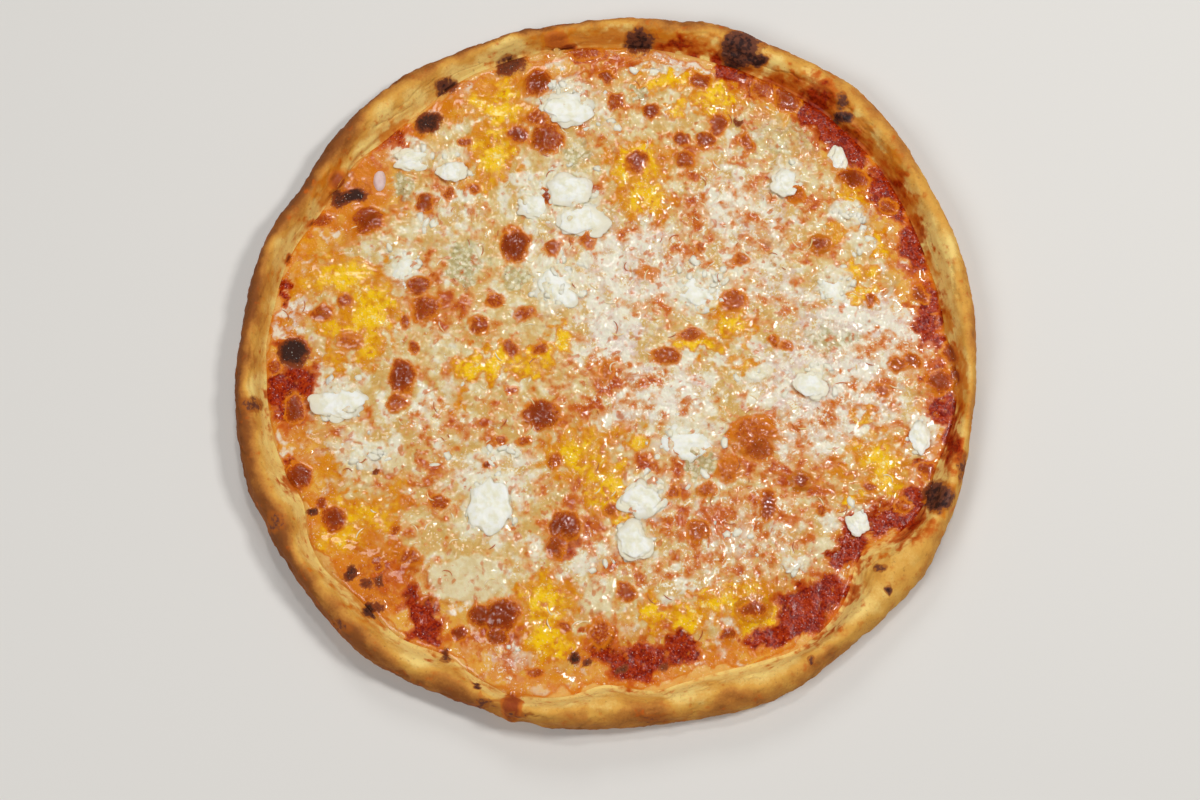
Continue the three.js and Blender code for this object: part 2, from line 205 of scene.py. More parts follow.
# %% [markdown]
# The places below were read from the picture, each as x, y, width and height in its pixels and a
# strength from 0 to 1. They say where a cheese lies or how brown a bubble is, and the noise does the rest.
# CHARS are burnt spots, BUBBLES browned domes, RINGS bubbles with a raised edge, CREAMS and SLICES soft
# white cheese, REDS sauce, RUDDIES sauce that shines through, and the last list the painted glare: milky
# patches where the wet cheese mirrors the light.

# %% What lies where
CHARS = [
    (447, 88, 23, 22, 0.7), (429, 130, 27, 21, 0.85), (511, 69, 28, 27, 0.7), (355, 202, 26, 11, 1),
    (341, 205, 18, 12, 0.75), (639, 44, 28, 33, 0.85), (740, 50, 37, 37, 0.9), (757, 60, 18, 11, 1),
    (844, 118, 18, 12, 0.95), (842, 101, 13, 20, 0.55), (296, 357, 27, 27, 1), (937, 496, 30, 28, 0.95),
    (575, 661, 11, 13, 0.85), (588, 665, 9, 9, 0.7), (621, 671, 14, 8, 0.7), (664, 671, 8, 12, 0.5),
    (446, 657, 9, 11, 0.6), (477, 686, 7, 5, 0.9), (352, 576, 14, 15, 0.75), (370, 585, 9, 12, 0.65),
    (381, 584, 9, 11, 0.65), (369, 611, 14, 12, 0.85), (380, 611, 10, 10, 0.6), (316, 515, 9, 9, 0.8),
    (889, 589, 8, 10, 0.95), (811, 659, 6, 8, 0.9), (880, 567, 15, 9, 0.6), (375, 476, 9, 4, 0.6),
    (915, 237, 6, 5, 0.8), (922, 252, 6, 5, 0.8), (737, 130, 10, 8, 0.6),
]
BUBBLES = [
    (538, 90, 27, 27, 0.8), (519, 142, 17, 17, 0.85), (548, 147, 30, 28, 0.7), (537, 127, 22, 18, 0.5),
    (466, 150, 15, 10, 0.6), (557, 40, 24, 20, 0.5), (568, 48, 16, 12, 0.7), (585, 58, 30, 14, 0.6),
    (606, 86, 14, 15, 0.7), (615, 110, 19, 14, 0.6), (650, 120, 15, 15, 0.8), (699, 89, 21, 16, 0.7),
    (716, 132, 16, 20, 0.7), (705, 147, 18, 14, 0.7), (682, 146, 14, 13, 0.7), (685, 167, 16, 15, 0.65),
    (636, 170, 21, 19, 0.7), (745, 150, 12, 20, 0.5), (787, 105, 26, 26, 0.7), (762, 95, 22, 22, 0.6),
    (795, 202, 18, 18, 0.4), (851, 185, 28, 20, 0.8), (887, 212, 17, 14, 0.6), (817, 252, 19, 18, 0.7),
    (867, 307, 11, 11, 0.7), (732, 307, 26, 18, 0.6), (690, 340, 26, 12, 0.6), (665, 362, 27, 17, 0.65),
    (607, 377, 20, 23, 0.4), (647, 280, 24, 16, 0.35), (785, 352, 14, 12, 0.5), (772, 345, 13, 12, 0.5),
    (917, 300, 17, 17, 0.7), (910, 366, 18, 16, 0.65), (950, 357, 17, 22, 0.7), (955, 377, 13, 14, 0.75),
    (937, 387, 26, 22, 0.75), (895, 371, 16, 13, 0.6), (878, 396, 15, 13, 0.6), (925, 475, 20, 14, 0.7),
    (868, 492, 13, 12, 0.6), (337, 180, 19, 18, 0.6), (320, 225, 26, 14, 0.65), (370, 227, 30, 27, 0.75),
    (426, 210, 17, 18, 0.7), (450, 200, 15, 14, 0.55), (474, 197, 14, 12, 0.5), (516, 252, 25, 29, 0.95),
    (552, 255, 17, 16, 0.65), (587, 247, 15, 15, 0.5), (547, 205, 9, 15, 0.8), (289, 262, 9, 16, 0.6),
    (277, 372, 16, 16, 0.6), (324, 320, 18, 16, 0.6), (346, 306, 15, 14, 0.5), (420, 292, 21, 18, 0.7),
    (427, 314, 26, 24, 0.65), (407, 327, 11, 16, 0.6), (496, 307, 16, 15, 0.55), (480, 332, 19, 19, 0.6),
    (525, 320, 21, 15, 0.45), (512, 353, 16, 14, 0.6), (540, 355, 14, 14, 0.5), (352, 347, 26, 22, 0.4),
    (404, 383, 23, 30, 0.85), (399, 409, 18, 18, 0.6), (297, 412, 18, 28, 0.85), (302, 480, 24, 26, 0.85),
    (324, 507, 15, 14, 0.65), (337, 523, 21, 25, 0.8), (441, 507, 19, 14, 0.6), (397, 535, 14, 12, 0.45),
    (407, 505, 16, 14, 0.35), (412, 562, 24, 16, 0.5), (542, 421, 34, 28, 0.8), (512, 397, 16, 11, 0.5),
    (525, 446, 14, 10, 0.5), (502, 446, 10, 9, 0.5), (487, 469, 8, 8, 0.85), (565, 530, 32, 25, 0.85),
    (555, 551, 20, 22, 0.7), (610, 515, 16, 14, 0.5), (554, 467, 14, 17, 0.5), (626, 595, 20, 16, 0.65),
    (727, 638, 16, 12, 0.7), (502, 618, 34, 30, 0.9), (482, 620, 24, 20, 0.8), (460, 636, 18, 14, 0.8),
    (498, 640, 18, 18, 0.7), (535, 675, 18, 12, 0.6), (565, 630, 16, 10, 0.5), (600, 637, 24, 26, 0.5),
    (512, 707, 21, 27, 0.65), (752, 440, 44, 40, 0.45), (757, 455, 26, 22, 0.65), (727, 475, 25, 25, 0.4),
    (799, 486, 20, 19, 0.7), (765, 510, 17, 28, 0.75), (819, 515, 11, 12, 0.5), (697, 535, 22, 20, 0.6),
    (705, 495, 20, 14, 0.5), (673, 497, 14, 14, 0.5), (752, 612, 26, 16, 0.7), (900, 508, 16, 14, 0.55),
    (380, 567, 13, 13, 0.5), (416, 354, 11, 11, 0.6), (740, 266, 13, 12, 0.5), (699, 255, 10, 10, 0.5),
]
RINGS = [(752, 612, 38, 27), (557, 40, 28, 22), (817, 252, 22, 21), (337, 181, 22, 20), (799, 486, 24, 22)]
YELLOWS = [
    (500, 110, 58, 46, 1), (492, 158, 50, 52, 0.95), (480, 190, 40, 22, 0.7), (455, 118, 30, 24, 0.6),
    (667, 88, 58, 22, 0.95), (715, 105, 46, 34, 1), (677, 117, 18, 14, 0.8), (636, 172, 52, 46, 0.95),
    (645, 208, 48, 36, 0.85), (602, 217, 12, 24, 0.8), (347, 282, 70, 36, 0.9), (372, 315, 50, 60, 1),
    (340, 330, 40, 30, 0.8), (300, 247, 40, 30, 0.5), (310, 285, 30, 40, 0.6), (370, 352, 40, 36, 0.8),
    (335, 365, 16, 36, 0.6), (500, 362, 44, 22, 0.9), (480, 374, 48, 24, 1), (562, 347, 22, 30, 1),
    (540, 362, 30, 34, 0.9), (525, 377, 30, 20, 0.9), (640, 445, 22, 18, 0.8), (575, 462, 60, 40, 0.9),
    (600, 440, 40, 24, 0.6), (612, 498, 50, 50, 0.95), (615, 470, 30, 20, 0.7), (732, 332, 36, 30, 1),
    (697, 352, 46, 16, 1), (710, 308, 30, 14, 0.8), (745, 370, 30, 12, 0.6), (850, 203, 40, 18, 0.8),
    (835, 242, 30, 20, 0.7), (877, 250, 14, 30, 0.8), (850, 282, 44, 22, 0.85), (862, 300, 30, 20, 0.9),
    (860, 422, 30, 14, 0.7), (875, 465, 52, 44, 0.9), (885, 485, 30, 36, 0.9), (852, 507, 28, 14, 1),
    (832, 478, 20, 14, 0.6), (350, 515, 70, 34, 0.8), (345, 543, 60, 32, 0.85), (385, 520, 30, 26, 0.6),
    (330, 470, 30, 34, 0.5), (400, 505, 16, 40, 0.6), (545, 602, 46, 40, 1), (550, 640, 52, 50, 1),
    (570, 600, 30, 20, 0.6), (650, 615, 28, 26, 1), (685, 622, 50, 22, 0.9), (715, 605, 50, 22, 0.9),
    (740, 590, 40, 14, 0.8), (752, 612, 54, 42, 1), (350, 410, 26, 18, 0.5), (460, 412, 14, 20, 0.5),
]
CREAMS = [
    (567, 107, 46, 40, 0.9), (562, 70, 26, 20, 0.6), (567, 190, 44, 40, 0.9), (580, 217, 54, 34, 0.9),
    (535, 207, 28, 22, 0.8),
    (415, 157, 44, 22, 0.9), (447, 170, 34, 20, 0.8), (405, 270, 28, 28, 0.8), (420, 230, 36, 28, 0.6),
    (557, 290, 44, 44, 0.9), (320, 385, 24, 40, 0.8), (337, 402, 42, 38, 0.85), (360, 440, 30, 24, 0.7),
    (372, 460, 38, 28, 0.9), (340, 455, 50, 24, 0.6), (485, 502, 44, 48, 0.85), (470, 532, 36, 24, 0.8),
    (495, 542, 30, 22, 0.6), (505, 457, 54, 14, 0.8), (450, 400, 20, 24, 0.6), (687, 445, 46, 32, 0.85),
    (657, 452, 32, 28, 0.7), (720, 435, 18, 28, 0.8), (645, 500, 34, 50, 0.85), (631, 541, 38, 36, 0.9),
    (707, 287, 54, 30, 0.9), (832, 287, 34, 38, 0.9), (847, 220, 44, 28, 0.95), (857, 252, 34, 24, 0.8),
    (787, 182, 26, 24, 0.8), (762, 102, 20, 18, 0.8), (755, 210, 20, 24, 0.5), (755, 382, 32, 22, 0.8),
    (807, 382, 30, 30, 0.8), (740, 545, 44, 60, 0.5), (795, 567, 34, 20, 0.9), (922, 437, 24, 34, 0.85),
    (857, 520, 20, 18, 0.8), (890, 297, 14, 22, 0.7), (837, 160, 14, 26, 0.8), (872, 170, 18, 18, 0.6),
    (895, 200, 8, 10, 0.8), (690, 485, 24, 22, 0.6), (662, 76, 62, 9, 0.8), (600, 135, 50, 20, 0.5),
    (440, 470, 60, 40, 0.3), (580, 570, 60, 30, 0.4), (520, 660, 50, 20, 0.5), (545, 690, 60, 14, 0.5),
]
SLICES = [(468, 582, 72, 46, 1), (597, 602, 38, 34, 0.9), (820, 552, 32, 28, 0.8), (395, 470, 30, 22, 0.6)]
BLUES = [
    (405, 190, 28, 30, 0.8), (467, 270, 44, 48, 0.8), (517, 285, 30, 30, 0.7), (577, 160, 38, 28, 0.7),
    (640, 102, 13, 20, 1), (783, 145, 88, 56, 0.5), (765, 260, 60, 46, 0.4), (830, 345, 64, 40, 0.6),
    (697, 470, 32, 26, 0.9),
]
REDS = [
    (285, 295, 10, 28, 0.8), (300, 385, 36, 50, 0.75), (283, 400, 24, 52, 0.95), (297, 412, 24, 34, 0.9),
    (296, 478, 24, 28, 0.6), (295, 350, 40, 20, 0.6), (425, 622, 30, 42, 1), (412, 600, 24, 30, 0.7),
    (433, 641, 30, 14, 0.8), (395, 575, 40, 30, 0.4), (505, 640, 24, 40, 0.5), (600, 640, 30, 24, 0.7),
    (640, 665, 62, 34, 0.95), (610, 655, 40, 24, 0.7), (680, 650, 26, 32, 0.9), (765, 642, 60, 14, 0.9),
    (805, 612, 52, 46, 1), (830, 592, 50, 28, 1), (785, 632, 42, 22, 1), (850, 545, 26, 46, 0.95),
    (838, 560, 24, 20, 0.8), (900, 520, 48, 38, 0.95), (877, 525, 30, 22, 0.8), (915, 500, 24, 22, 0.8),
    (942, 412, 32, 36, 0.95), (950, 445, 20, 42, 0.9), (922, 470, 22, 14, 0.6), (925, 315, 28, 54, 0.95),
    (912, 250, 24, 58, 0.95), (932, 345, 24, 24, 0.7), (937, 385, 30, 26, 0.8), (885, 195, 40, 46, 0.95),
    (895, 215, 24, 20, 0.8), (847, 147, 42, 30, 0.95), (815, 110, 36, 60, 1), (830, 135, 28, 32, 1),
    (856, 165, 30, 14, 0.7), (722, 66, 18, 32, 0.9), (735, 80, 30, 20, 0.8), (760, 92, 40, 30, 0.7),
    (785, 85, 30, 20, 0.6), (676, 45, 34, 16, 0.8), (697, 50, 24, 14, 0.7), (585, 60, 40, 16, 0.6),
    (615, 70, 22, 16, 0.5), (565, 545, 34, 30, 0.5), (400, 140, 26, 16, 0.6), (390, 152, 24, 12, 0.5),
    (750, 430, 40, 30, 0.5), (795, 202, 22, 20, 0.5), (705, 530, 60, 30, 0.3), (745, 150, 16, 60, 0.3),
]
RUDDIES = [
    (720, 240, 200, 170, 0.8), (745, 130, 90, 80, 0.5), (720, 510, 330, 170, 0.9), (560, 545, 150, 110, 0.7),
    (440, 450, 150, 120, 0.75), (430, 300, 100, 90, 0.8), (560, 130, 110, 90, 0.6), (330, 430, 90, 110, 0.4),
    (415, 590, 90, 90, 0.9), (640, 640, 160, 60, 0.8), (880, 400, 150, 130, 0.75), (600, 90, 130, 60, 0.6),
    (620, 400, 150, 100, 0.8), (490, 640, 110, 70, 0.8), (600, 250, 120, 60, 0.5), (450, 210, 90, 60, 0.75),
    (690, 160, 90, 60, 0.7), (750, 445, 90, 60, 0.9), (420, 240, 60, 60, 0.4), (590, 550, 90, 60, 0.7),
    (300, 300, 40, 60, 0.5), (670, 575, 90, 44, 0.9),
]
# Painted glare: milky patches where the wet cheese mirrors the light, painted into its colour as a painted
# reflection.
PAINTED_GLARES = [
    (640, 270, 150, 130, 0.8), (612, 345, 70, 70, 1), (650, 400, 130, 70, 0.95), (830, 390, 170, 130, 1),
    (740, 220, 140, 130, 0.7), (800, 440, 120, 70, 0.9), (730, 540, 170, 100, 0.7), (850, 330, 120, 70, 1),
    (300, 318, 40, 30, 0.8), (517, 660, 50, 34, 0.9), (430, 420, 100, 60, 0.5), (500, 480, 120, 60, 0.6),
    (560, 240, 80, 60, 0.5), (780, 300, 110, 60, 0.7), (600, 560, 120, 60, 0.6), (690, 590, 120, 30, 0.6),
    (900, 350, 70, 70, 0.9), (690, 65, 60, 26, 0.8), (615, 68, 30, 20, 0.6), (380, 340, 60, 60, 0.3),
    (460, 220, 60, 40, 0.5), (600, 130, 60, 30, 0.5),
]
print("spots read from the picture:", sum(map(len, (CHARS, BUBBLES, YELLOWS, CREAMS, BLUES, REDS))))

# %% [markdown]
# The bread, the sauce and the cheese keep the outlines of their solids. A ray is sent from outside towards
# the axis at each of many angles, and where it meets the solid is the outline at that angle. The solids
# have flat sides, so the answers are smoothed round the circle, which turns them into a soft curve. Rays
# from above read the height of a surface in the same way.

# %% Outlines of the solids
TURNS = 720
TURN = np.arange(TURNS) * 2 * math.pi / TURNS
FAR_OFF = 0.3  # metres from the axis, where the rays start
ABOVE = 50  # millimetres above the floor, where the rays from above start
RIM_LEVEL = 6.5  # height of a line inside the rim
CORE_LEVEL = 0.3  # how far above a layer's underside its outline is read


def soften(values, spread, axis=0, wrap=True):
    """Values smoothed along one axis, which may be a closed circle."""
    reach = int(3 * spread) + 1
    weights = np.exp(-0.5 * (np.arange(-reach, reach + 1) / spread) ** 2)
    weights = weights / weights.sum()
    margins = [(0, 0)] * values.ndim
    margins[axis] = (reach, reach)
    padded = np.pad(values, margins, mode="wrap" if wrap else "edge")
    length = values.shape[axis]
    return sum(weight * np.take(padded, range(at, at + length), axis) for at, weight in enumerate(weights))


def skin_of(thing):
    """The surface of an object, for rays to meet."""
    return BVHTree.FromObject(thing, bpy.context.evaluated_depsgraph_get())


def level_at(skin, x, y):
    """The height of a surface under a place in millimetres, or None beside it."""
    hit = skin.ray_cast(Vector((x, y, ABOVE)) * MM, Vector((0, 0, -1)))[0]
    return None if hit is None else hit.z / MM


def outline_of(node, level):
    """The radius of a solid at a level for each turn, in millimetres."""
    skin = skin_of(frame["nodes"][node])
    radii = []
    for turn in TURN:
        out = Vector((math.cos(turn), math.sin(turn), 0))
        hit = skin.ray_cast(out * FAR_OFF + Vector((0, 0, level * MM)), -out)[0]
        radii.append(hit.xy.length / MM)
    return soften(np.array(radii), 3)


def around(outline, turns):
    """An outline's radius at any turns."""
    return np.interp(turns % (2 * math.pi), np.append(TURN, 2 * math.pi), np.append(outline, outline[0]))


def turn_of(points):
    return np.arctan2(points[:, 1], points[:, 0])


def beyond(outline, points):
    """How far each point lies outside an outline, in millimetres."""
    return np.hypot(points[:, 0], points[:, 1]) - around(outline, turn_of(points))


def corners(node):
    """The lowest and highest corner of a solid, in millimetres."""
    return [np.array(corner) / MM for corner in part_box(node)]


sauce_low = corners("sauce")[0][2]
cheese_low, cheese_high = (corner[2] for corner in corners("cheese"))
crust_edge = outline_of("crust", RIM_LEVEL)
sauce_edge = outline_of("sauce", sauce_low + CORE_LEVEL)
cheese_edge = outline_of("cheese", cheese_low + CORE_LEVEL)
print("mean radii:", [round(edge.mean(), 1) for edge in (crust_edge, sauce_edge, cheese_edge)])

# %% [markdown]
# The rim of the bread is a puffed ring. Its section changes all the way round, so a lathe alone can't make
# it. Rays sent from a line inside the rim out to the solid's skin read that section at each angle. The
# operator spin makes the ring of faces, and then each point moves to where its ray ended. Fine noise on top
# makes the skin of baked dough, which is never quite smooth, and a few creases run along it.

# %% The bread's shape
RIM_RAYS = 84
FIRST_RAY, LAST_RAY = math.radians(-90), math.radians(186)
RAY_SHARE = np.linspace(0, 1, RIM_RAYS)
CLOSER_INSIDE = RAY_SHARE + 0.5 * RAY_SHARE * (1 - RAY_SHARE)
TILTS = FIRST_RAY + (LAST_RAY - FIRST_RAY) * CLOSER_INSIDE
FLOOR_LEVEL = sauce_low - 0.3
UNDER_STEPS = 8
SOFT_ALONG, SOFT_ACROSS = 4, 2
PUFF, WRINKLE, GRAINY, CREASE = 0.22, 0.14, 0.06, 0.7  # depths of the relief in millimetres
CALM_FOOT = 0.25  # the share of the relief that is left where the rim slopes down to the sauce


def rim_lengths(core):
    """How far the skin of the bread is from the line inside the rim, for each turn and ray."""
    skin = skin_of(frame["nodes"]["crust"])
    lengths = np.zeros((TURNS, RIM_RAYS))
    for row, turn in enumerate(TURN):
        out = Vector((math.cos(turn), math.sin(turn), 0))
        start = out * core[row] * MM + Vector((0, 0, RIM_LEVEL * MM))
        for column, tilt in enumerate(TILTS):
            way = out * math.cos(tilt) + Vector((0, 0, math.sin(tilt)))
            lengths[row, column] = skin.ray_cast(start, way)[3] / MM
    return soften(soften(lengths, SOFT_ALONG), SOFT_ACROSS, axis=1, wrap=False)


def bread_points():
    """Every point of the bread as turn by section, from under the middle over the rim to the floor."""
    core = 0.5 * (crust_edge + sauce_edge)
    lengths = rim_lengths(core)
    radius = core[:, None] + lengths * np.cos(TILTS)
    height = np.maximum(RIM_LEVEL + lengths * np.sin(TILTS), 0)
    share = np.linspace(0, 1, UNDER_STEPS, endpoint=False)
    under = radius[:, :1] * share
    floor = (radius[:, -1:] - 1) * share[::-1]
    radius = np.hstack([under, radius, floor])
    height = np.hstack([0 * under, height, FLOOR_LEVEL + 0 * floor])
    return np.stack([radius * np.cos(TURN)[:, None], radius * np.sin(TURN)[:, None], height], axis=2)


def mesh_from(bm, name):
    """Turns an edit mesh into a mesh."""
    mesh = bpy.data.meshes.new(name)
    bm.to_mesh(mesh)
    bm.free()
    return mesh


def ring_mesh(name, points):
    """A closed mesh of points given as turn by section, whose first and last point lie on the axis."""
    turns, steps = points.shape[:2]
    bm = bmesh.new()
    line = [bm.verts.new((1, 0, place)) for place in range(steps)]
    edges = [bm.edges.new(pair) for pair in zip(line, line[1:])]
    bmesh.ops.spin(
        bm, geom=line + edges, cent=(0, 0, 0), axis=(0, 0, 1), angle=2 * math.pi, steps=turns, use_merge=True
    )
    for vert in bm.verts:
        turn = round(math.atan2(vert.co.y, vert.co.x) / (2 * math.pi) * turns) % turns
        vert.co = points[turn, round(vert.co.z)] * MM
    bmesh.ops.remove_doubles(bm, verts=bm.verts, dist=1e-6)
    bmesh.ops.recalc_face_normals(bm, faces=bm.faces)
    return mesh_from(bm, name)


def read_points(mesh, what):
    """One value of three numbers for each point of a mesh."""
    values = np.zeros(3 * len(mesh.vertices))
    mesh.vertices.foreach_get(what, values)
    return values.reshape(-1, 3)


def points_of(mesh):
    """The places of a mesh's points in millimetres."""
    return read_points(mesh, "co") / MM


def move_points(mesh, points):
    mesh.vertices.foreach_set("co", (points * MM).ravel())
    mesh.update()


def mark(mesh, name, values):
    """Stores one value for each point, for the material to read."""
    mesh.attributes.new(name, "FLOAT", "POINT").data.foreach_set("value", np.clip(values, 0, 1))


def show(name, mesh, nodes=()):
    """A finished piece: it rides on the pizza and may stand for solids."""
    mesh.shade_smooth()
    piece = bpy.data.objects.new(name, mesh)
    bpy.context.scene.collection.objects.link(piece)
    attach(piece, "root")
    if nodes:
        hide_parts(*nodes)
    return piece


bread_mesh = ring_mesh("bread", bread_points())
bread_at = points_of(bread_mesh)
shown = step(0.5, 3, bread_at[:, 2])
shown = shown * (CALM_FOOT + (1 - CALM_FOOT) * step(1, 7, beyond(sauce_edge, bread_at)))
valleys = np.exp(-(cloud(bread_at * (1, 1, 2), 26, 15) / 0.1) ** 2)
relief = -CREASE * valleys * step(5, 9, bread_at[:, 2]) + PUFF * cloud(bread_at, 11, 5)
relief = relief + WRINKLE * cloud(bread_at, 3.2, 6) + GRAINY * cloud(bread_at, 1.1, 7, 2)
move_points(bread_mesh, bread_at + (shown * relief)[:, None] * read_points(bread_mesh, "normal"))
print("bread:", len(bread_mesh.vertices), "points")

# %% [markdown]
# Dough browns at its outer side, where it stood in the heat, and stays pale where it slopes down to the wet
# sauce. So the toast grows outwards. It also grows towards one side, the side turned away from the key light:
# that part is painted shade, darker brown where the rim lies in shadow. The picture adds the rest: where it
# is toasted more, where it is scorched, and where orange oil from the cheese has soaked into it.

# %% Where the bread is brown
TOASTS = [
    (250, 405, 34, 50, 0.7), (262, 530, 44, 90, 0.6), (292, 575, 50, 80, 0.55), (340, 635, 90, 50, 0.7),
    (430, 690, 110, 36, 0.5), (330, 150, 80, 100, 0.7), (302, 192, 60, 90, 1), (385, 90, 110, 50, 0.35),
    (255, 280, 44, 100, 0.9), (285, 562, 50, 60, 0.6), (975, 372, 24, 90, 0.9), (660, 714, 90, 24, 0.6),
    (590, 704, 60, 18, 0.45), (735, 694, 120, 40, 0.7), (555, 24, 170, 20, 1), (690, 26, 90, 12, 0.5),
    (964, 465, 14, 40, 0.9), (960, 300, 16, 160, 0.3),
    (900, 140, 50, 90, 0.25), (930, 540, 50, 50, 0.4), (820, 655, 70, 30, 0.45), (257, 455, 26, 50, 0.5),
    (875, 560, 60, 40, 0.3),
]
SCORCHES = [
    (251, 405, 17, 15, 0.6), (275, 522, 17, 18, 0.5), (340, 626, 26, 12, 0.4), (657, 717, 22, 7, 0.4),
    (962, 467, 9, 26, 0.6), (470, 703, 60, 4, 0.6), (520, 716, 40, 4, 0.5), (757, 40, 22, 14, 0.5),
]
OILS = [
    (560, 40, 60, 36, 0.7), (608, 44, 80, 34, 0.75), (650, 42, 80, 36, 0.8), (705, 44, 90, 32, 0.75),
    (745, 58, 50, 44, 0.75), (790, 82, 50, 40, 0.75), (830, 112, 50, 60, 0.9), (860, 140, 44, 50, 1),
    (885, 175, 36, 60, 0.9), (905, 220, 30, 60, 0.9), (922, 275, 26, 60, 0.9), (942, 325, 18, 50, 0.7),
    (960, 380, 12, 90, 0.7), (352, 195, 70, 54, 1), (337, 180, 40, 34, 0.8), (370, 225, 50, 34, 0.9),
    (320, 225, 36, 22, 0.5), (400, 140, 46, 34, 1), (380, 582, 66, 84, 1), (350, 575, 34, 34, 0.7),
    (447, 105, 40, 40, 0.6), (948, 500, 36, 36, 0.9), (877, 556, 30, 30, 0.4), (752, 652, 80, 16, 0.7),
    (700, 657, 60, 16, 0.7), (600, 655, 60, 30, 0.9), (640, 680, 90, 16, 0.7), (520, 690, 80, 16, 0.3),
]
# Painted shade: the rim is painted browner towards this side, the side turned away from the key light.
SHADED_SIDE = math.radians(165)
bread_at = points_of(bread_mesh)
bread_faces = read_points(bread_mesh, "normal")
bread_view = View(bread_at)
from_sauce = beyond(sauce_edge, bread_at)
rim_width = around(crust_edge - sauce_edge, turn_of(bread_at))
on_top = step(1, 4, bread_at[:, 2]) * step(-0.5, 0.1, bread_faces[:, 2])
underneath = step(3.5, 0.5, bread_at[:, 2])

outwards = step(0.1, 1.0, from_sauce / rim_width + 0.1 * cloud(bread_at, 18, 13))
toward_shaded_side = 0.5 + 0.5 * np.cos(turn_of(bread_at) - SHADED_SIDE)
# The toast mask is the bread's own toast outwards, plus painted shade towards the side away from the key
# light.
toast_and_shade = 0.06 + (0.4 + 0.44 * toward_shaded_side) * outwards
toast_and_shade = toast_and_shade + 0.05 * cloud(bread_at, 20, 8) + 0.03 * cloud(bread_at, 6, 9)
toast_and_shade = toast_and_shade + 0.2 * bread_view.blots(TOASTS, 1, 5) * on_top
toast_and_shade = toast_and_shade + 0.25 * underneath * (0.6 + 0.5 * cloud(bread_at, 9, 10))
stain = step(4.5, 0.5, from_sauce + 2 * cloud(bread_at, 7, 11))
oiled = bread_view.blots(OILS, 0.6) * step(14, 5, from_sauce + 1.2 * cloud(bread_at, 6, 12))
mark(bread_mesh, "toast_and_shade", toast_and_shade)
mark(bread_mesh, "oil", np.maximum(0.36 * stain, oiled) * on_top)
mark(bread_mesh, "red", 0.8 * bread_view.blots(REDS, 0.8, 3) * on_top)
mark(bread_mesh, "bubble", bread_view.blots(BUBBLES, 0.5, 0.7) * on_top)
scorched = np.maximum(bread_view.blots(CHARS, 0.4, 1), bread_view.blots(SCORCHES, 1))
mark(bread_mesh, "char", scorched * on_top)
swollen = bread_view.domes(BUBBLES, 0.3) + 0.4 * bread_view.domes(CHARS, 0.3)
move_points(bread_mesh, bread_at + (on_top * swollen)[:, None] * bread_faces)

# %% [markdown]
# Materials are sums of many small fields, so the sums are written as Python. A Wire wraps a socket, and
# adding or multiplying wires adds the Math nodes. Colours must not go through Math nodes, which would turn
# them grey, so they are blended by Mix nodes. Most colours are coats: each is laid over the last one where
# some value is high.

# %% Shader maths
def paint(red, green, blue):
    """A screen colour from 0 to 255, as the linear colour that a shader reads."""
    linear = [(v / 255 / 12.92) if v < 10 else ((v / 255 + 0.055) / 1.055) ** 2.4 for v in (red, green, blue)]
    return (*linear, 1)


class Wire:
    """A socket that can be used in sums."""

    def __init__(self, finish, socket):
        self.finish = finish
        self.socket = socket

    def __add__(self, other):
        return self.finish.maths("ADD", self, other)

    def __mul__(self, other):
        return self.finish.maths("MULTIPLY", self, other)

    def __sub__(self, other):
        return self.finish.maths("SUBTRACT", self, other)

    def __rsub__(self, other):
        return self.finish.maths("SUBTRACT", other, self)

    __radd__ = __add__
    __rmul__ = __mul__


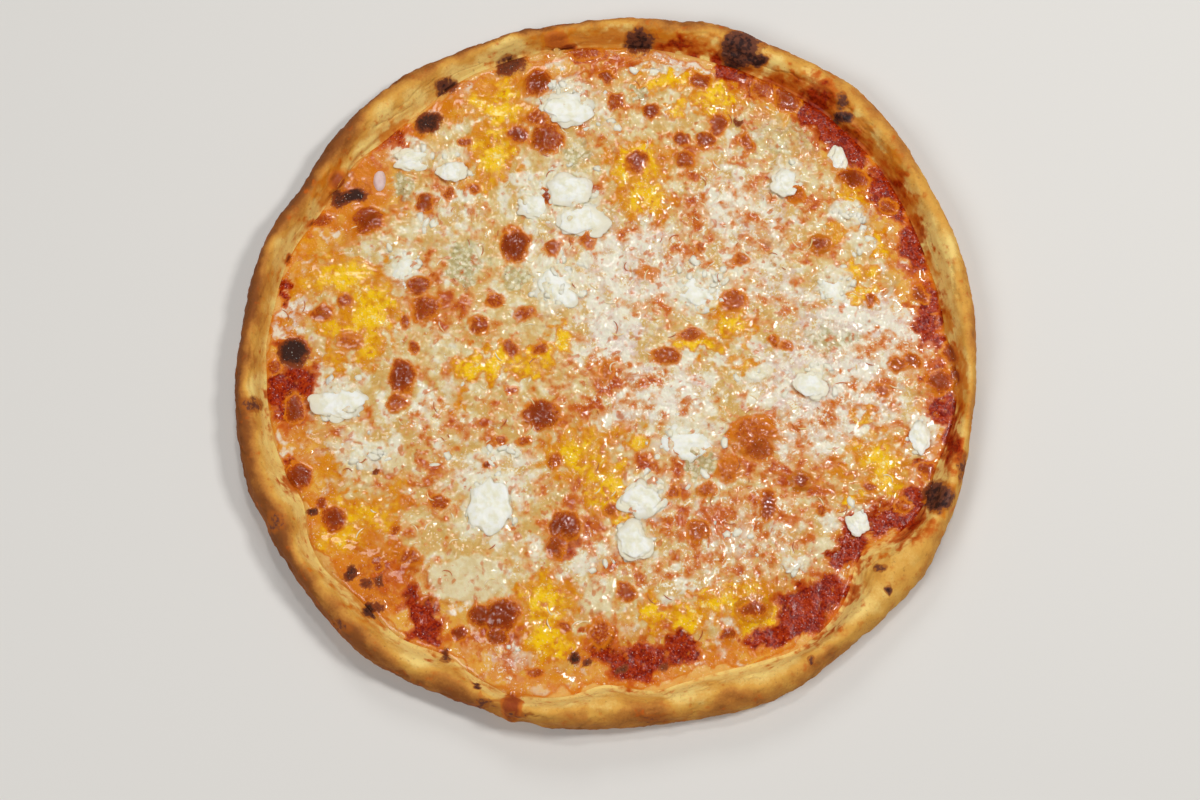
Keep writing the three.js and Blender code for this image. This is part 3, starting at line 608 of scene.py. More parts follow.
class Finish:
    """A material that is built from wires."""

    def __init__(self, name):
        self.material = bpy.data.materials.new(name)
        self.material.use_nodes = True
        self.nodes = self.material.node_tree.nodes
        self.links = self.material.node_tree.links
        self.shader = self.nodes["Principled BSDF"]
        self.place = self.node("ShaderNodeTexCoord", out="Object")

    @cached_property
    def soft(self):
        return self.grain(5.0, 3)

    @cached_property
    def middle(self):
        return self.grain(2.6, 4, 2.0)

    @cached_property
    def fine(self):
        return self.grain(1.0, 3, 4.0)

    def node(self, kind, settings=None, inputs=None, out=0):
        """A node of any kind: its settings, the values or wires of its inputs, and one output."""
        made = self.nodes.new(kind)
        for key, value in (settings or {}).items():
            setattr(made, key, value)
        for key, value in (inputs or {}).items():
            self.plug(made.inputs[key], value)
        return Wire(self, made.outputs[out])

    def plug(self, socket, value):
        if isinstance(value, Wire):
            self.links.new(value.socket, socket)
        else:
            socket.default_value = value

    def maths(self, operation, first, second=0.0):
        return self.node("ShaderNodeMath", {"operation": operation}, {0: first, 1: second})

    def mask(self, name):
        return self.node("ShaderNodeAttribute", {"attribute_name": name}, out="Fac")

    def grain(self, size, detail=2.0, seed=0.0):
        """Noise from 0 to 1 with lumps of a size in millimetres."""
        settings = {"noise_dimensions": "4D"}
        inputs = {"Vector": self.place, "Scale": 1000 / size, "Detail": detail, "W": seed}
        return self.node("ShaderNodeTexNoise", settings, inputs)

    def cells(self, size, warp=0.0):
        """Cells of a size in millimetres, 0 in their middles, bent by a warp in millimetres."""
        scale = 1000 / size
        push = self.node("ShaderNodeTexNoise", None, {"Vector": self.place, "Scale": scale}, out="Color")
        push = self.node("ShaderNodeVectorMath", {"operation": "SUBTRACT"}, {0: push, 1: (0.5, 0.5, 0.5)})
        push = self.node("ShaderNodeVectorMath", {"operation": "SCALE"}, {0: push, "Scale": 2 * warp * MM})
        place = self.node("ShaderNodeVectorMath", None, {0: self.place, 1: push})
        return self.node("ShaderNodeTexVoronoi", None, {"Vector": place, "Scale": scale})

    def rise(self, value, low, high):
        """0 below low, 1 above high, and a smooth rise between them."""
        settings = {"interpolation_type": "SMOOTHSTEP"}
        return self.node("ShaderNodeMapRange", settings, {"Value": value, 1: low, 2: high})

    def melt(self):
        """How far noise shifts the edge of a thing that has melted."""
        return 0.9 * (self.soft - 0.5) + 0.8 * (self.middle - 0.5)

    def pulp(self):
        """The same for a coarse sauce."""
        return 0.8 * (self.soft - 0.5) + 0.8 * (self.middle - 0.5)

    def blend(self, share, under, over):
        """The colour over laid on the colour under."""
        settings = {"data_type": "RGBA", "clamp_factor": True}
        return self.node("ShaderNodeMix", settings, {0: share, 6: under, 7: over}, out=2)

    def coat(self, colour, value, low, high, over, strength=None):
        """A screen colour laid on where a value rises from low to high."""
        share = self.rise(value, low, high)
        return self.blend(strength * share if strength else share, colour, paint(*over))

    def mottle(self, value, low, high, first, second):
        """Two screen colours, the second where a value rises."""
        return self.coat(paint(*first), value, low, high, second)

    def blend_value(self, share, under, over):
        return self.node("ShaderNodeMix", {"data_type": "FLOAT"}, {0: share, 2: under, 3: over})

    def relief(self, height, depth, under=None):
        """A bump of a depth in millimetres, which may lie over another one."""
        inputs = {"Height": height, "Distance": depth * MM, "Strength": 1.0}
        if under:
            inputs["Normal"] = under
        return self.node("ShaderNodeBump", None, inputs)

    def finish(self, **sockets):
        """Sets the shader's sockets, named with _ for a space."""
        for key, value in sockets.items():
            self.plug(self.shader.inputs[key.replace("_", " ")], value)
        return self.material


# %% [markdown]
# Oil and sauce cross from the toppings onto the bread. Both finishes paint them with the same two helpers
# and the same noise, so that no seam shows where one mesh ends.

# %% Oil and sauce on a ground
def with_oil(f, colour):
    """Orange oil that has soaked into the ground."""
    oil = f.mask("oil") + f.melt()
    colour = f.coat(colour, oil, 0.2, 0.7, (216, 124, 14), 0.85)
    return f.coat(colour, oil + 0.5 * (f.fine - 0.5), 0.8, 1.2, (176, 74, 8), 0.7)


def with_sauce(f, colour):
    """Red sauce with an orange seam."""
    red = f.mask("red") + f.pulp()
    colour = f.coat(colour, red, 0.05, 0.35, (204, 96, 18), 0.9)
    wet = f.mottle(0.6 * f.fine + 0.4 * f.middle, 0.38, 0.6, (112, 12, 0), (172, 50, 2))
    return f.blend(f.rise(red, 0.28, 0.7), colour, wet)


# %% [markdown]
# Baked bread is matt. Its colour runs from cream where it stayed moist, through gold, to brown where it
# stood up into the heat, and the same browns also paint the shade on the side away from the key light. The
# flour and the tiny blisters of its skin are a fine bump.

# %% Bread
def bread_finish():
    f = Finish("baked_bread")
    # The toast mask holds both the bread's own toast and the painted shade of the rim's side away from the
    # key light.
    toast_and_shade = f.mask("toast_and_shade") + 0.2 * (f.soft - 0.5) + 0.22 * (f.fine - 0.5)
    colour = f.mottle(toast_and_shade, 0.06, 0.4, (247, 214, 128), (224, 166, 74))
    colour = f.coat(colour, toast_and_shade, 0.36, 0.62, (196, 128, 54))
    colour = f.coat(colour, toast_and_shade, 0.56, 0.86, (144, 82, 34))
    colour = f.coat(colour, toast_and_shade, 0.84, 1.2, (104, 60, 34))
    colour = f.coat(colour, f.grain(1.3, 2, 5.0), 0.58, 0.75, (156, 96, 48), 0.4)
    colour = with_sauce(f, with_oil(f, colour))
    bubble = f.mask("bubble") + 0.2 * (f.fine - 0.5)
    colour = f.coat(colour, bubble, 0.1, 0.35, (206, 112, 36))
    colour = f.coat(colour, bubble, 0.35, 0.7, (152, 66, 30))
    char = f.mask("char") + 1.3 * (f.grain(2.2, 3, 7.0) - 0.5) + 0.6 * (f.fine - 0.5)
    colour = f.coat(colour, f.mask("char"), 0.05, 0.3, (176, 96, 32), 0.8)
    colour = f.coat(colour, char, 0.3, 0.6, (112, 64, 46))
    colour = f.coat(colour, char, 0.7, 1.05, (54, 32, 30))
    bump = f.relief(f.fine + 0.4 * f.soft, 0.12)
    gloss = f.blend_value(f.rise(f.mask("oil") + f.melt(), 0.2, 0.7), 0.7, 0.36)
    return f.finish(Base_Color=colour, Roughness=gloss, Normal=bump, Specular_IOR_Level=0.12,
                    Subsurface_Weight=0.08, Subsurface_Radius=(1.0, 0.5, 0.25), Subsurface_Scale=0.002)


bread_mesh.materials.append(bread_finish())
show("bread", bread_mesh, ["crust"])

# %% [markdown]
# Sauce and cheese are sheets with a fine relief. The operator create_grid gives an even mesh, and its
# square is mapped to a disc so that its border follows the outline of the solid. An extruded border closes
# the sheet underneath. Where that border shows, its edges are sharp, so that no dark line is shaded there.

# %% A sheet from a grid
def disc_shares(corner):
    """The points of a square from -1 to 1 moved to a disc: share of the radius, and turn."""
    u, v = corner[:, 0], corner[:, 1]
    flat = np.abs(u) > np.abs(v)
    share = np.maximum(np.abs(u), np.abs(v))
    with np.errstate(divide="ignore", invalid="ignore"):
        turn = np.where(flat, math.pi / 4 * v / u, math.pi / 2 - math.pi / 4 * u / v)
    turn = np.nan_to_num(turn) + np.where(np.where(flat, u, v) < 0, math.pi, 0)
    return share, turn


def sheet_mesh(name, cells):
    """A square sheet closed by a border underneath. Its last points are that border's."""
    bm = bmesh.new()
    bmesh.ops.create_grid(bm, x_segments=cells, y_segments=cells, size=1)
    border = [edge for edge in bm.edges if edge.is_boundary]
    made = bmesh.ops.extrude_edge_only(bm, edges=border)["geom"]
    low_edges = [part for part in made if isinstance(part, bmesh.types.BMEdge) and part.is_boundary]
    bmesh.ops.contextual_create(bm, geom=low_edges)
    bmesh.ops.recalc_face_normals(bm, faces=bm.faces)
    return mesh_from(bm, name)


def spread(mesh, edge):
    """Lays a square sheet out to an outline. Gives its points, and how far each is from the edge."""
    share, turn = disc_shares(points_of(mesh) * MM)
    radius = around(edge, turn)
    points = np.stack([share * radius * np.cos(turn), share * radius * np.sin(turn), 0 * turn], axis=1)
    return points, (1 - share) * radius


def close_under(points, cells, low):
    """Puts the points under a sheet's border at the level of its underside, drawn in a little."""
    top = (cells + 1) ** 2
    points[top:, 2] = low
    points[top:, :2] *= 0.995
    return points


def sharpen_border(mesh, inset, cells):
    """Shades the top of a sheet apart from the wall under its border."""
    ends = np.zeros(2 * len(mesh.edges), int)
    mesh.edges.foreach_get("vertices", ends)
    ends = ends.reshape(-1, 2)
    sharp = (inset[ends] < 1e-6).all(axis=1) & (ends < (cells + 1) ** 2).all(axis=1)
    mesh.attributes.new("sharp_edge", "BOOLEAN", "EDGE").data.foreach_set("value", sharp)


# %% [markdown]
# Sauce and cheese run into each other, so no line may show where one sheet ends. Both sheets therefore get
# the same masks, read from the same places with the same noise, and both are painted by the same rules.
# Each lump of white cheese has melted a little, so the blanket is creamy round it.

# %% Masks of the toppings
PALE_OVAL = "white_cheese_21"  # the lump that is smooth and a little pink
LUMPS = sorted(name for name in frame["nodes"] if name.startswith("white_cheese"))
AROUND_LUMPS = []
for lump in LUMPS:
    low, high = corners(lump)
    (x,), (y,) = seen(0.5 * (low + high)[None])
    wide, deep, _ = 1.7 * (high - low) / PIXEL
    if lump != PALE_OVAL:
        AROUND_LUMPS.append((x, y, wide, deep, 1))
RING_WIDTH = 9  # pixels, both sides together
READINGS = {  # spots, softness of their edges, and how far the edges are frayed in pixels
    "char": (CHARS, 0.4, 1.2),
    "brown": (BUBBLES, 0.55, 1.1),
    "yellow": (YELLOWS, 0.7, 4),
    "cream": (CREAMS, 0.8, 3),
    "blue": (BLUES, 0.45, 3),
    "slice": (SLICES, 0.35, 2),
    "ruddy": (RUDDIES, 0.8, 5),
    # the painted glare, a painted reflection of the light on the wet cheese
    "painted_glare": (PAINTED_GLARES, 0.8, 6),
    "red": (REDS, 0.5, 3),
    "oil": (OILS, 0.6, 3),
}


def masks_at(points):
    """What lies at each point of the toppings, and the view that it was read in."""
    view = View(points)
    masks = {name: view.blots(*reading) for name, reading in READINGS.items()}
    masks["cream"] = np.maximum(masks["cream"], 0.75 * view.blots(AROUND_LUMPS, 0.5, 3))
    within = [(x, y, wide - RING_WIDTH, high - RING_WIDTH, 1) for x, y, wide, high in RINGS]
    masks["ring"] = view.blots([(*ring, 1) for ring in RINGS], 0.2, 0.7) - view.blots(within, 0.25, 0.7)
    wet = np.maximum(masks["red"], masks["oil"])
    inset = -beyond(sauce_edge, points)
    ragged = cloud(points, 9, 23, 2)
    border = 0.75 * step(2.4, -0.4, inset + 1.1 * ragged) * (1 - step(0.1, 0.5, masks["red"]))
    masks["rim"] = np.maximum(step(3.6, -0.8, inset + 1.7 * ragged) * (1 - step(0.1, 0.5, wet)), border)
    masks["spots"] = step(1.1, 2.0, cloud(points, 3.6, 33, 2)) * (0.35 + 0.65 * masks["ruddy"])
    return view, masks


def mark_all(mesh, masks):
    for name, values in masks.items():
        mark(mesh, name, values)


# %% [markdown]
# The sauce shows as a band between the cheese and the rim. It is a wet pulp with slow lumps, and oil from
# the cheese floats at its edge. Its border climbs the foot of the rim as a thin film: near the border, each
# point is lifted to just above the bread, and the very border dips under the bread's skin.

# %% Sauce
SAUCE_CELLS = 210
SAUCE_THICK = 1.3
SAUCE_CLIMB = 0.9  # how far the sauce runs up the foot of the rim
FILM = 0.12  # how thick it is there
FILM_BAND, DIPPING = 7, 0.6  # how far inside the border it is a film, and how far it dips under the bread
CIRCLE = 150  # radius of the circle where the noise of a border is read
edge_points = np.stack([CIRCLE * np.cos(TURN), CIRCLE * np.sin(TURN), 0 * TURN], axis=1)
sauce_mesh = sheet_mesh("sauce_layer", SAUCE_CELLS)
sauce_border = sauce_edge + SAUCE_CLIMB + 0.25 * cloud(edge_points, 16, 24, 1)
sauce_at, sauce_inset = spread(sauce_mesh, sauce_border)
bare = step(-12, -7, beyond(cheese_edge, sauce_at))  # 0 where the cheese hides the sauce
sauce_view, sauce_masks = masks_at(sauce_at)
sauce_top = sauce_low + SAUCE_THICK
swell = 0.5 + 0.2 * cloud(sauce_at, 6, 21, 2) + sauce_view.domes(BUBBLES + CHARS, 0.3)
sauce_at[:, 2] = sauce_top + bare * swell
bread_skin = skin_of(bpy.data.objects["bread"])
for index in np.flatnonzero(sauce_inset < FILM_BAND):
    x, y, level = sauce_at[index]
    bread_level = level_at(bread_skin, x, y)
    dips = sauce_inset[index] <= DIPPING
    sauce_at[index, 2] = bread_level - FILM if dips else max(level, bread_level + FILM)
move_points(sauce_mesh, close_under(sauce_at, SAUCE_CELLS, sauce_low))
sauce_masks["ground"] = 0 * sauce_inset
mark_all(sauce_mesh, sauce_masks)
show("sauce_layer", sauce_mesh, ["sauce"])
sharpen_border(sauce_mesh, sauce_inset, SAUCE_CELLS)
print("sauce:", len(sauce_mesh.vertices), "points")

# %% [markdown]
# The blanket of cheese is the piece that the eye lands on. Four cheeses have run together over the sauce,
# and each shows where it was dropped. The mesh starts from the slow roll of the solid blanket.

# %% The blanket's shape
CHEESE_CELLS = 312
cheese_mesh = sheet_mesh("melted_cheese", CHEESE_CELLS)
FUSED_BUBBLES = 2.2  # height of the solid's own bubbles, which the relief makes again
ragged_edge = cheese_edge + 1.6 * cloud(edge_points, 14, 31, 2) + 1.5
cheese_at, cheese_inset = spread(cheese_mesh, np.minimum(ragged_edge, sauce_edge - 1))


def levels_at(points, skin, beside):
    """The height of a surface under each point, and another height beside it."""
    levels = [level_at(skin, x, y) for x, y, _ in points]
    return np.array([beside if level is None else level for level in levels])


side = CHEESE_CELLS + 1
level = levels_at(cheese_at, skin_of(frame["nodes"]["cheese"]), cheese_low + 0.6)
square = np.minimum(level[: side * side], cheese_high - FUSED_BUBBLES).reshape(side, side)
for axis in (0, 1):
    square = soften(square, 5, axis, wrap=False)
level[: side * side] = square.ravel()
view, masks = masks_at(cheese_at)
print("cheese:", len(cheese_mesh.vertices), "points")

# %% [markdown]
# A bubble of cheese is a dome that has sunk a little at its top. The relief adds the domes, sinks the
# patches of sauce, lifts the pale curds and leaves the molten yellow pools smooth. At the border the
# blanket thins out to the level of the sauce.

# %% The blanket's relief
STEEP = 0.36  # how high a bubble is for its radius
HOLLOW, CURD = 0.7, 0.36  # millimetres
THINNING = 7  # width of the border where the blanket thins out
fine_blocks = pebbles(cheese_at, 3.2, 35)
blocks = pebbles(cheese_at, 6.5, 40)
curd = CURD * cloud(cheese_at, 5.5, 34, 2) + 0.4 * (fine_blocks - 0.4) + 0.12 * cloud(cheese_at, 2.3, 41, 1)
crumbly = step(0.25, 0.9, masks["cream"]) * (0.2 + 1.1 * blocks + 0.4 * fine_blocks)
mouldy = 0.5 * step(0.2, 0.8, masks["blue"]) * fine_blocks
pools = 0.3 * step(0.2, 0.8, masks["yellow"]) + 0.7 * step(0.2, 0.9, masks["slice"])
calm = 1 - 0.6 * np.maximum(masks["yellow"], 0.5 * masks["cream"]) - 0.8 * masks["slice"]
sunk = HOLLOW * step(0.35, 0.9, masks["red"])
sunk = sunk + 0.3 * masks["ruddy"] * step(0.2, 1.2, cloud(cheese_at, 6, 36, 2))
bubbles = view.domes(BUBBLES + CHARS, STEEP) + 0.6 * masks["ring"] + 0.35 * masks["spots"]
lift = bubbles + crumbly + mouldy + pools + curd * np.maximum(calm, 0.1) - sunk
thick = np.maximum(level + lift, sauce_top + 0.15)
inwards = step(0, THINNING, cheese_inset)
below = levels_at(cheese_at, skin_of(bpy.data.objects["sauce_layer"]), sauce_top)
thin = below - 0.2 + 0.05 * np.clip(cheese_inset, 0, THINNING)
lowest = np.where(cheese_inset > 2, below + 0.05, 0)
cheese_at[:, 2] = np.maximum(thin + (thick - thin) * inwards, lowest)
move_points(cheese_mesh, close_under(cheese_at, CHEESE_CELLS, cheese_low - 0.2))
masks["ground"] = step(0, 12, cheese_inset + 3 * cloud(cheese_at, 7, 39) - 2)
mark_all(cheese_mesh, masks)
print("blanket up to", round(cheese_at[:, 2].max(), 1), "mm")

# %% [markdown]
# The colours go on in the order in which the real ones lie over each other, with painted light among them:
# the ground, the red that shines through it, pale granules that are partly painted glints, a painted glare
# where the wet cheese mirrors the light, the yellow, the cream and the blue cheese, then the sauce in the
# gaps, and last what the oven did, from orange through brown to black. Over all lie painted glints.

# %% The finish of the toppings
def topping_finish(name):
    f = Finish(name)
    soft, middle, fine = f.soft, f.middle, f.fine
    wide, broad, patches = f.grain(24.0, 2, 8.0), f.grain(9.0, 3, 1.0), f.grain(6.5, 3, 6.0)
    granules = f.cells(2.4, 1.6)
    # The painted glare mask marks a painted reflection of the light on the wet cheese.
    painted_glare, melt = f.mask("painted_glare"), f.melt()
    on_bread = f.mottle(broad, 0.38, 0.62, (228, 168, 66), (210, 116, 20))
    on_cheese = f.mottle(patches, 0.4, 0.6, (228, 208, 154), (214, 172, 96))
    colour = f.blend(f.mask("ground"), on_bread, on_cheese)

    # Painted reflection: a pale lilac veil laid on where the glare is.
    painted_glare_veil = painted_glare + 1.1 * (middle - 0.5) + 1.3 * (soft - 0.5) + 0.8 * (fine - 0.5)
    colour = f.coat(colour, painted_glare_veil, 0.35, 0.95, (226, 210, 205), 0.8)
    # Milky cream patches, painted a little whiter where the painted glare is.
    milky = 0.5 - 1.6 * (patches - 0.5) - 1.0 * (wide - 0.5) + 0.7 * (middle - 0.5) + 0.24 * painted_glare
    colour = f.coat(colour, milky, 0.6, 0.85, (238, 233, 212), 0.8)
    uneven = 1.1 * (wide - 0.5) + 1.6 * (broad - 0.5) + 1.3 * (soft - 0.5) + 0.4 * (middle - 0.5)
    # Less orange where the painted glare washes the colours out.
    warm = 0.46 + uneven + 0.42 * f.mask("ruddy") - 0.14 * painted_glare
    colour = f.coat(colour, warm, 0.47, 0.79, (222, 156, 80), 0.8)
    colour = f.coat(colour, warm, 0.69, 0.95, (208, 108, 18), 0.9)
    colour = f.coat(colour, warm + 0.4 * (fine - 0.5), 0.86, 1.12, (172, 54, 8), 0.8)
    # Pale flecks of grated cheese that are also painted glints, whiter and more of them where the painted
    # glare is.
    pale_flecks_and_glints = 0.5 - 0.6 * (soft - 0.5) - 1.1 * (middle - 0.5) + 1.3 * (fine - 0.5) + 0.2 * painted_glare
    colour = f.coat(colour, pale_flecks_and_glints, 0.72, 0.92, (250, 244, 222), 0.8)

    yellow = f.mask("yellow") + melt
    colour = f.coat(colour, yellow, 0.1, 0.45, (220, 140, 10), 0.9)
    colour = f.coat(colour, yellow, 0.4, 1.0, (252, 202, 2), 0.95)
    molten = f.rise(yellow, 0.3, 0.6)
    amber = 0.6 * broad + 0.6 * patches + 0.5 * middle
    colour = f.coat(colour, amber, 0.81, 0.98, (212, 118, 8), 0.7 * molten)
    colour = f.coat(colour, pale_flecks_and_glints + 0.6 * (0.5 - patches), 0.68, 0.85, (252, 236, 160), 0.65 * molten)
    colour = with_oil(f, colour)
    milk = f.mottle(middle, 0.4, 0.6, (242, 240, 222), (230, 218, 178))
    colour = f.blend(0.9 * f.rise(f.mask("cream") + melt, 0.35, 0.8), colour, milk)
    slices = f.mottle(soft, 0.4, 0.6, (232, 220, 178), (222, 200, 150))
    colour = f.blend(0.92 * f.rise(f.mask("slice") + 0.4 * melt, 0.3, 0.75), colour, slices)
    mould = f.mottle(granules, 0.25, 0.6, (228, 224, 190), (184, 174, 122))
    mould = f.coat(mould, f.grain(1.6, 2, 11.0), 0.66, 0.72, (84, 78, 46))
    colour = f.blend(0.85 * f.rise(f.mask("blue") + melt, 0.35, 0.75), colour, mould)
    colour = with_sauce(f, colour)

    rim = f.mask("rim") + 0.4 * melt
    colour = f.coat(colour, rim, 0.15, 0.5, (214, 122, 20), 0.85)
    colour = f.coat(colour, rim, 0.5, 0.9, (230, 180, 98), 0.9)
    colour = f.coat(colour, f.mask("spots") + 0.3 * (fine - 0.5), 0.15, 0.6, (204, 104, 22), 0.7)
    brown = f.mask("brown") + 0.3 * (fine - 0.5) + 0.4 * (middle - 0.5)
    colour = f.coat(colour, brown, 0.04, 0.26, (218, 124, 18), 0.9)
    # The browned skin of the bubbles is painted lighter where the painted glare is.
    crusted = f.blend(0.6 * painted_glare, paint(166, 64, 10), paint(196, 100, 22))
    crusted = f.coat(crusted, fine, 0.45, 0.62, (208, 112, 24))
    colour = f.blend(f.rise(brown, 0.26, 0.46), colour, crusted)
    colour = f.coat(colour, brown + 0.4 * (fine - 0.5), 0.5, 0.85, (128, 42, 2), 0.85)
    colour = f.coat(colour, f.mask("ring") + 0.3 * (fine - 0.5), 0.2, 0.6, (196, 110, 16), 0.7)
    burnt = f.mask("char") + 0.7 * (fine - 0.5) + 0.3 * (middle - 0.5)
    colour = f.coat(colour, burnt, 0.1, 0.45, (134, 60, 18))
    colour = f.coat(colour, burnt, 0.45, 0.95, (56, 28, 18))
    # Painted glints: tiny white specks for the light that the wet surface mirrors, more of them where the
    # painted glare is.
    colour = f.coat(colour, f.grain(0.7, 1, 12.0), 0.68, 0.74, (255, 250, 240), 0.4 + 0.5 * painted_glare)

    matt = f.rise(f.mask("char"), 0.1, 0.5)
    sauce = f.rise(f.mask("red") + f.pulp(), 0.28, 0.7)
    bump = f.relief(0.9 * middle + 0.4 * fine - 0.4 * granules, 0.45)
    gloss = f.blend_value(matt, f.blend_value(f.rise(yellow, 0.3, 0.7), 0.22, 0.16), 0.7)
    shine = f.blend_value(sauce, 0.55, 0.07) * (1.0 - matt)
    return f.finish(Base_Color=colour, Roughness=gloss, Normal=bump, Specular_IOR_Level=0.2,
                    Subsurface_Weight=0.1, Subsurface_Radius=(1.0, 0.5, 0.2), Subsurface_Scale=0.003,
                    Coat_Weight=shine, Coat_Roughness=0.04)


sauce_mesh.materials.append(topping_finish("red_sauce"))
cheese_mesh.materials.append(topping_finish("melted_cheese"))
melted = [name for name in frame["nodes"] if name.startswith(("yellow_cheese", "mozzarella", "blue_cheese"))]
show("melted_cheese", cheese_mesh, ["cheese", *melted])

# %% [markdown]
# Fresh white cheese keeps its lumps: each is a torn, crumbly piece with a melted foot. A sphere with many
# faces is flattened to the size of its solid. Noise tears its outline and lifts blocks on its top, and its
# foot meets the blanket at a slant, where it has run out.

# %% White lumps
ground_skins = [skin_of(bpy.data.objects[name]) for name in ("melted_cheese", "sauce_layer")]


def ground_level(x, y):
    """The height of the finished toppings at a place in millimetres."""
    levels = [level_at(skin, x, y) for skin in ground_skins]
    return max([level for level in levels if level is not None], default=sauce_top)


def ball(subdivisions):
    """The points and triangles of a round sphere of radius 1."""
    bm = bmesh.new()
    bmesh.ops.create_icosphere(bm, subdivisions=subdivisions, radius=1)
    points = np.array([vert.co[:] for vert in bm.verts])
    faces = np.array([[vert.index for vert in face.verts] for face in bm.faces])
    bm.free()
    return points, faces


def mesh_of(name, points, faces):
    """A mesh from points in millimetres and faces."""
    mesh = bpy.data.meshes.new(name)
    mesh.from_pydata((points * MM).tolist(), [], faces)
    return mesh


BALL, BALL_FACES = ball(5)
BIG_BALL = 10 * BALL  # noise is read on a sphere of this radius
LUMP_RISE = 0.3  # a lump stands this share of its solid's height above the blanket
SUNK_IN = 0.1  # how far a lump lies in the blanket, in millimetres


def lump_points(middle, size, seed, torn):
    """A soft lump whose edge melts into the ground: its middle on the ground and its size in millimetres."""
    tears = 0.16 * cloud(BIG_BALL, 10, seed, 2) + 0.03 * cloud(BIG_BALL, 3.5, seed + 1, 2)
    blocks = 0.25 * pebbles(BIG_BALL * (1, 1, 0), 8, seed) + 0.1 * cloud(BIG_BALL, 4, seed + 2, 2)
    up = np.tanh(1.5 * np.clip(BALL[:, 2], 0, 1) ** 2.2) * (1 + torn * (blocks - 0.3)) * size[2]
    points = BALL * (1 + torn * tears)[:, None] * (size[0] / 2, size[1] / 2, 1)
    points[:, 2] = np.where(BALL[:, 2] > 0, up - SUNK_IN, points[:, 2])
    return points + middle


def white_finish(name, bright, dull):
    f = Finish(name)
    middle = f.grain(3.5, 3)
    colour = f.mottle(middle, 0.4, 0.65, bright, dull)
    colour = f.coat(colour, f.mask("foot") + 0.5 * (middle - 0.5), 0.3, 0.9, (236, 228, 200), 0.85)
    bump = f.relief(middle, 0.3, f.relief(f.grain(0.9, 3, 3.0), 0.1))
    return f.finish(Base_Color=colour, Roughness=0.45, Normal=bump, Subsurface_Weight=0.3,
                    Subsurface_Radius=(1.0, 0.9, 0.7), Subsurface_Scale=0.002)


white_material = white_finish("fresh_white_cheese", (246, 246, 236), (234, 231, 206))
oval_material = white_finish("pale_oval", (226, 200, 196), (214, 178, 172))
for number, name in enumerate(LUMPS):
    low, high = corners(name)
    middle = 0.5 * (low + high)
    middle[2] = ground_level(*middle[:2])
    torn = name != PALE_OVAL
    size = (high - low) * ((1.25, 1.25, LUMP_RISE) if torn else (0.8, 0.9, LUMP_RISE))
    lump = mesh_of(name + "_lump", lump_points(middle, size, 60 + 3 * number, torn), BALL_FACES.tolist())
    mark(lump, "foot", torn * step(0.85, 0.3, BALL[:, 2]))
    lump.materials.append(white_material if torn else oval_material)
    show(name + "_lump", lump, [name])

# %% [markdown]
# Crumbs lie round the lumps. They are one mesh: a small body is copied to many seeded places, each copy
# with its own size, dents and turn, and set into the ground.

# %% Crumbs
CRUMBS = 260
CRUMB_SUNK = 0.6  # the share of a crumb's height that is sunk in


def turned(points, turns):
    """Copies of a body's points, each turned about the vertical."""
    across = points[:, :, 0] * np.cos(turns) - points[:, :, 1] * np.sin(turns)
    along = points[:, :, 0] * np.sin(turns) + points[:, :, 1] * np.cos(turns)
    return np.stack([across, along, points[:, :, 2]], axis=2)


def scatter(name, places, sizes, dice):
    """Many uneven little bodies at places on the ground, with sizes in millimetres."""
    body, faces = ball(2)
    uneven = 1 + dice.normal(0, 0.16, (len(places), len(body), 1))
    copies = body[None] * uneven * sizes[:, None] / 2
    copies = turned(copies, dice.uniform(0, 2 * math.pi, (len(places), 1)))
    height = np.array([ground_level(*place) for place in places]) + (0.5 - CRUMB_SUNK) * sizes[:, 2]
    copies += np.column_stack([places, height])[:, None]
    shift = len(body) * np.arange(len(places))[:, None, None]
    return mesh_of(name, copies.reshape(-1, 3), (faces[None] + shift).reshape(-1, 3).tolist())


def sown(count, weight, dice):
    """Places on the blanket, drawn where a weight read from the masks is high."""
    top = np.arange(side * side)
    share = np.clip(weight[top], 0, None)
    chosen = dice.choice(top, count, p=share / share.sum())
    return cheese_at[chosen, :2] + dice.uniform(-0.6, 0.6, (count, 2))


dice = np.random.default_rng(4)
lengths = dice.uniform(1.2, 4.2, (CRUMBS, 1))
crumb_sizes = lengths * dice.uniform((0.9, 0.6, 0.25), (1.6, 1, 0.4), (CRUMBS, 3))
near_lumps = masks["cream"] ** 2 * inwards * (1 - masks["slice"])
crumbs = scatter("white_crumbs", sown(CRUMBS, near_lumps, dice), crumb_sizes, dice)
mark(crumbs, "foot", np.full(len(crumbs.vertices), 0.7))
crumbs.materials.append(white_material)
show("white_crumbs", crumbs)
print("crumbs:", len(crumbs.polygons), "triangles")

# %% [markdown]
# A few shreds of grated cheese kept their shape: thin curls, pale where they are soft and brown where they
# dried out. Each is a short arc with a round section that thins to its ends.

# %% Curls
STATIONS, SIDES = 11, 6


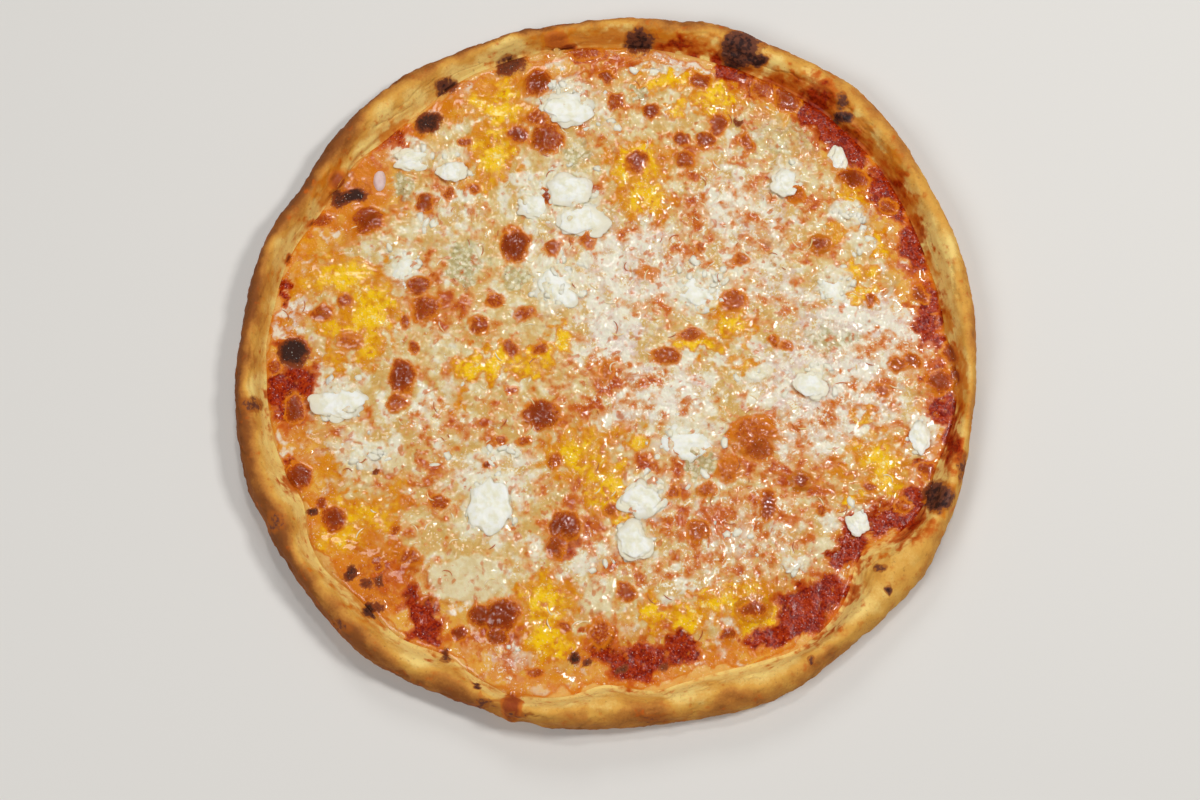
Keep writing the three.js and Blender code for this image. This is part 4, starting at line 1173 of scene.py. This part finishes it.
def curls(name, places, thickness, dice, colours):
    """Many thin arcs that lie on the ground, as one mesh."""
    along = np.linspace(-1, 1, STATIONS)
    section = np.arange(SIDES) * 2 * math.pi / SIDES
    girth = 0.5 * thickness * np.sqrt(1.02 - along**2)
    points, faces = [], []
    for x, y in places:
        bend = dice.uniform(2, 7)
        reach = dice.uniform(0.8, 3.5) / bend
        start = dice.uniform(0, 2 * math.pi)
        way = start + reach * along
        out = np.column_stack([np.cos(way), np.sin(way)])
        path = (x, y) + bend * (out - (math.cos(start), math.sin(start)))
        level = np.array([ground_level(*place) for place in path]) + 0.25 * thickness
        ring = path[:, None] + (girth[:, None] * np.cos(section))[:, :, None] * out[:, None]
        rise = level[:, None] + girth[:, None] * np.sin(section)
        first = len(points) * STATIONS * SIDES
        points.append(np.dstack([ring, rise]).reshape(-1, 3))
        for start_of_side in range(first, first + (STATIONS - 1) * SIDES, SIDES):
            for part in range(SIDES):
                corner, beside = start_of_side + part, start_of_side + (part + 1) % SIDES
                faces.append([corner, beside, beside + SIDES, corner + SIDES])
        faces.append([first + part for part in reversed(range(SIDES))])
        faces.append([first + (STATIONS - 1) * SIDES + part for part in range(SIDES)])
    mesh = mesh_of(name, np.concatenate(points), faces)
    f = Finish(name)
    colour = f.mottle(f.grain(4.0, 2), 0.35, 0.65, *colours)
    finish = f.finish(Base_Color=colour, Roughness=0.3, Coat_Weight=0.3, Coat_Roughness=0.06)
    mesh.materials.append(finish)
    show(name, mesh)


open_cheese = inwards * (1 - masks["char"]) * (1 - masks["brown"])
ruddy_cheese = open_cheese * (0.2 + masks["ruddy"]) * (1 - 0.6 * masks["yellow"])
curls("browned_curls", sown(60, ruddy_cheese, dice), 0.5, dice, ((206, 116, 30), (176, 74, 16)))
curls("pale_threads", sown(90, open_cheese, dice), 0.6, dice, ((248, 236, 206), (244, 214, 140)))

# %% [markdown]
# The floor comes last of the shapes. It lies just under the pizza, so that the two surfaces don't meet.

# %% The floor
FLOOR_REACH = 3  # metres to each side
FLOOR_GAP = 0.3  # millimetres
floor_bm = bmesh.new()
bmesh.ops.create_grid(floor_bm, x_segments=1, y_segments=1, size=FLOOR_REACH)
bmesh.ops.translate(floor_bm, verts=floor_bm.verts, vec=(0, 0, -FLOOR_GAP * MM))
floor_mesh = mesh_from(floor_bm, "floor")
floor_mesh.materials.append(Finish("pale_floor").finish(Base_Color=paint(226, 224, 220), Roughness=0.8))
floor = bpy.data.objects.new("floor", floor_mesh)
bpy.context.scene.collection.objects.link(floor)
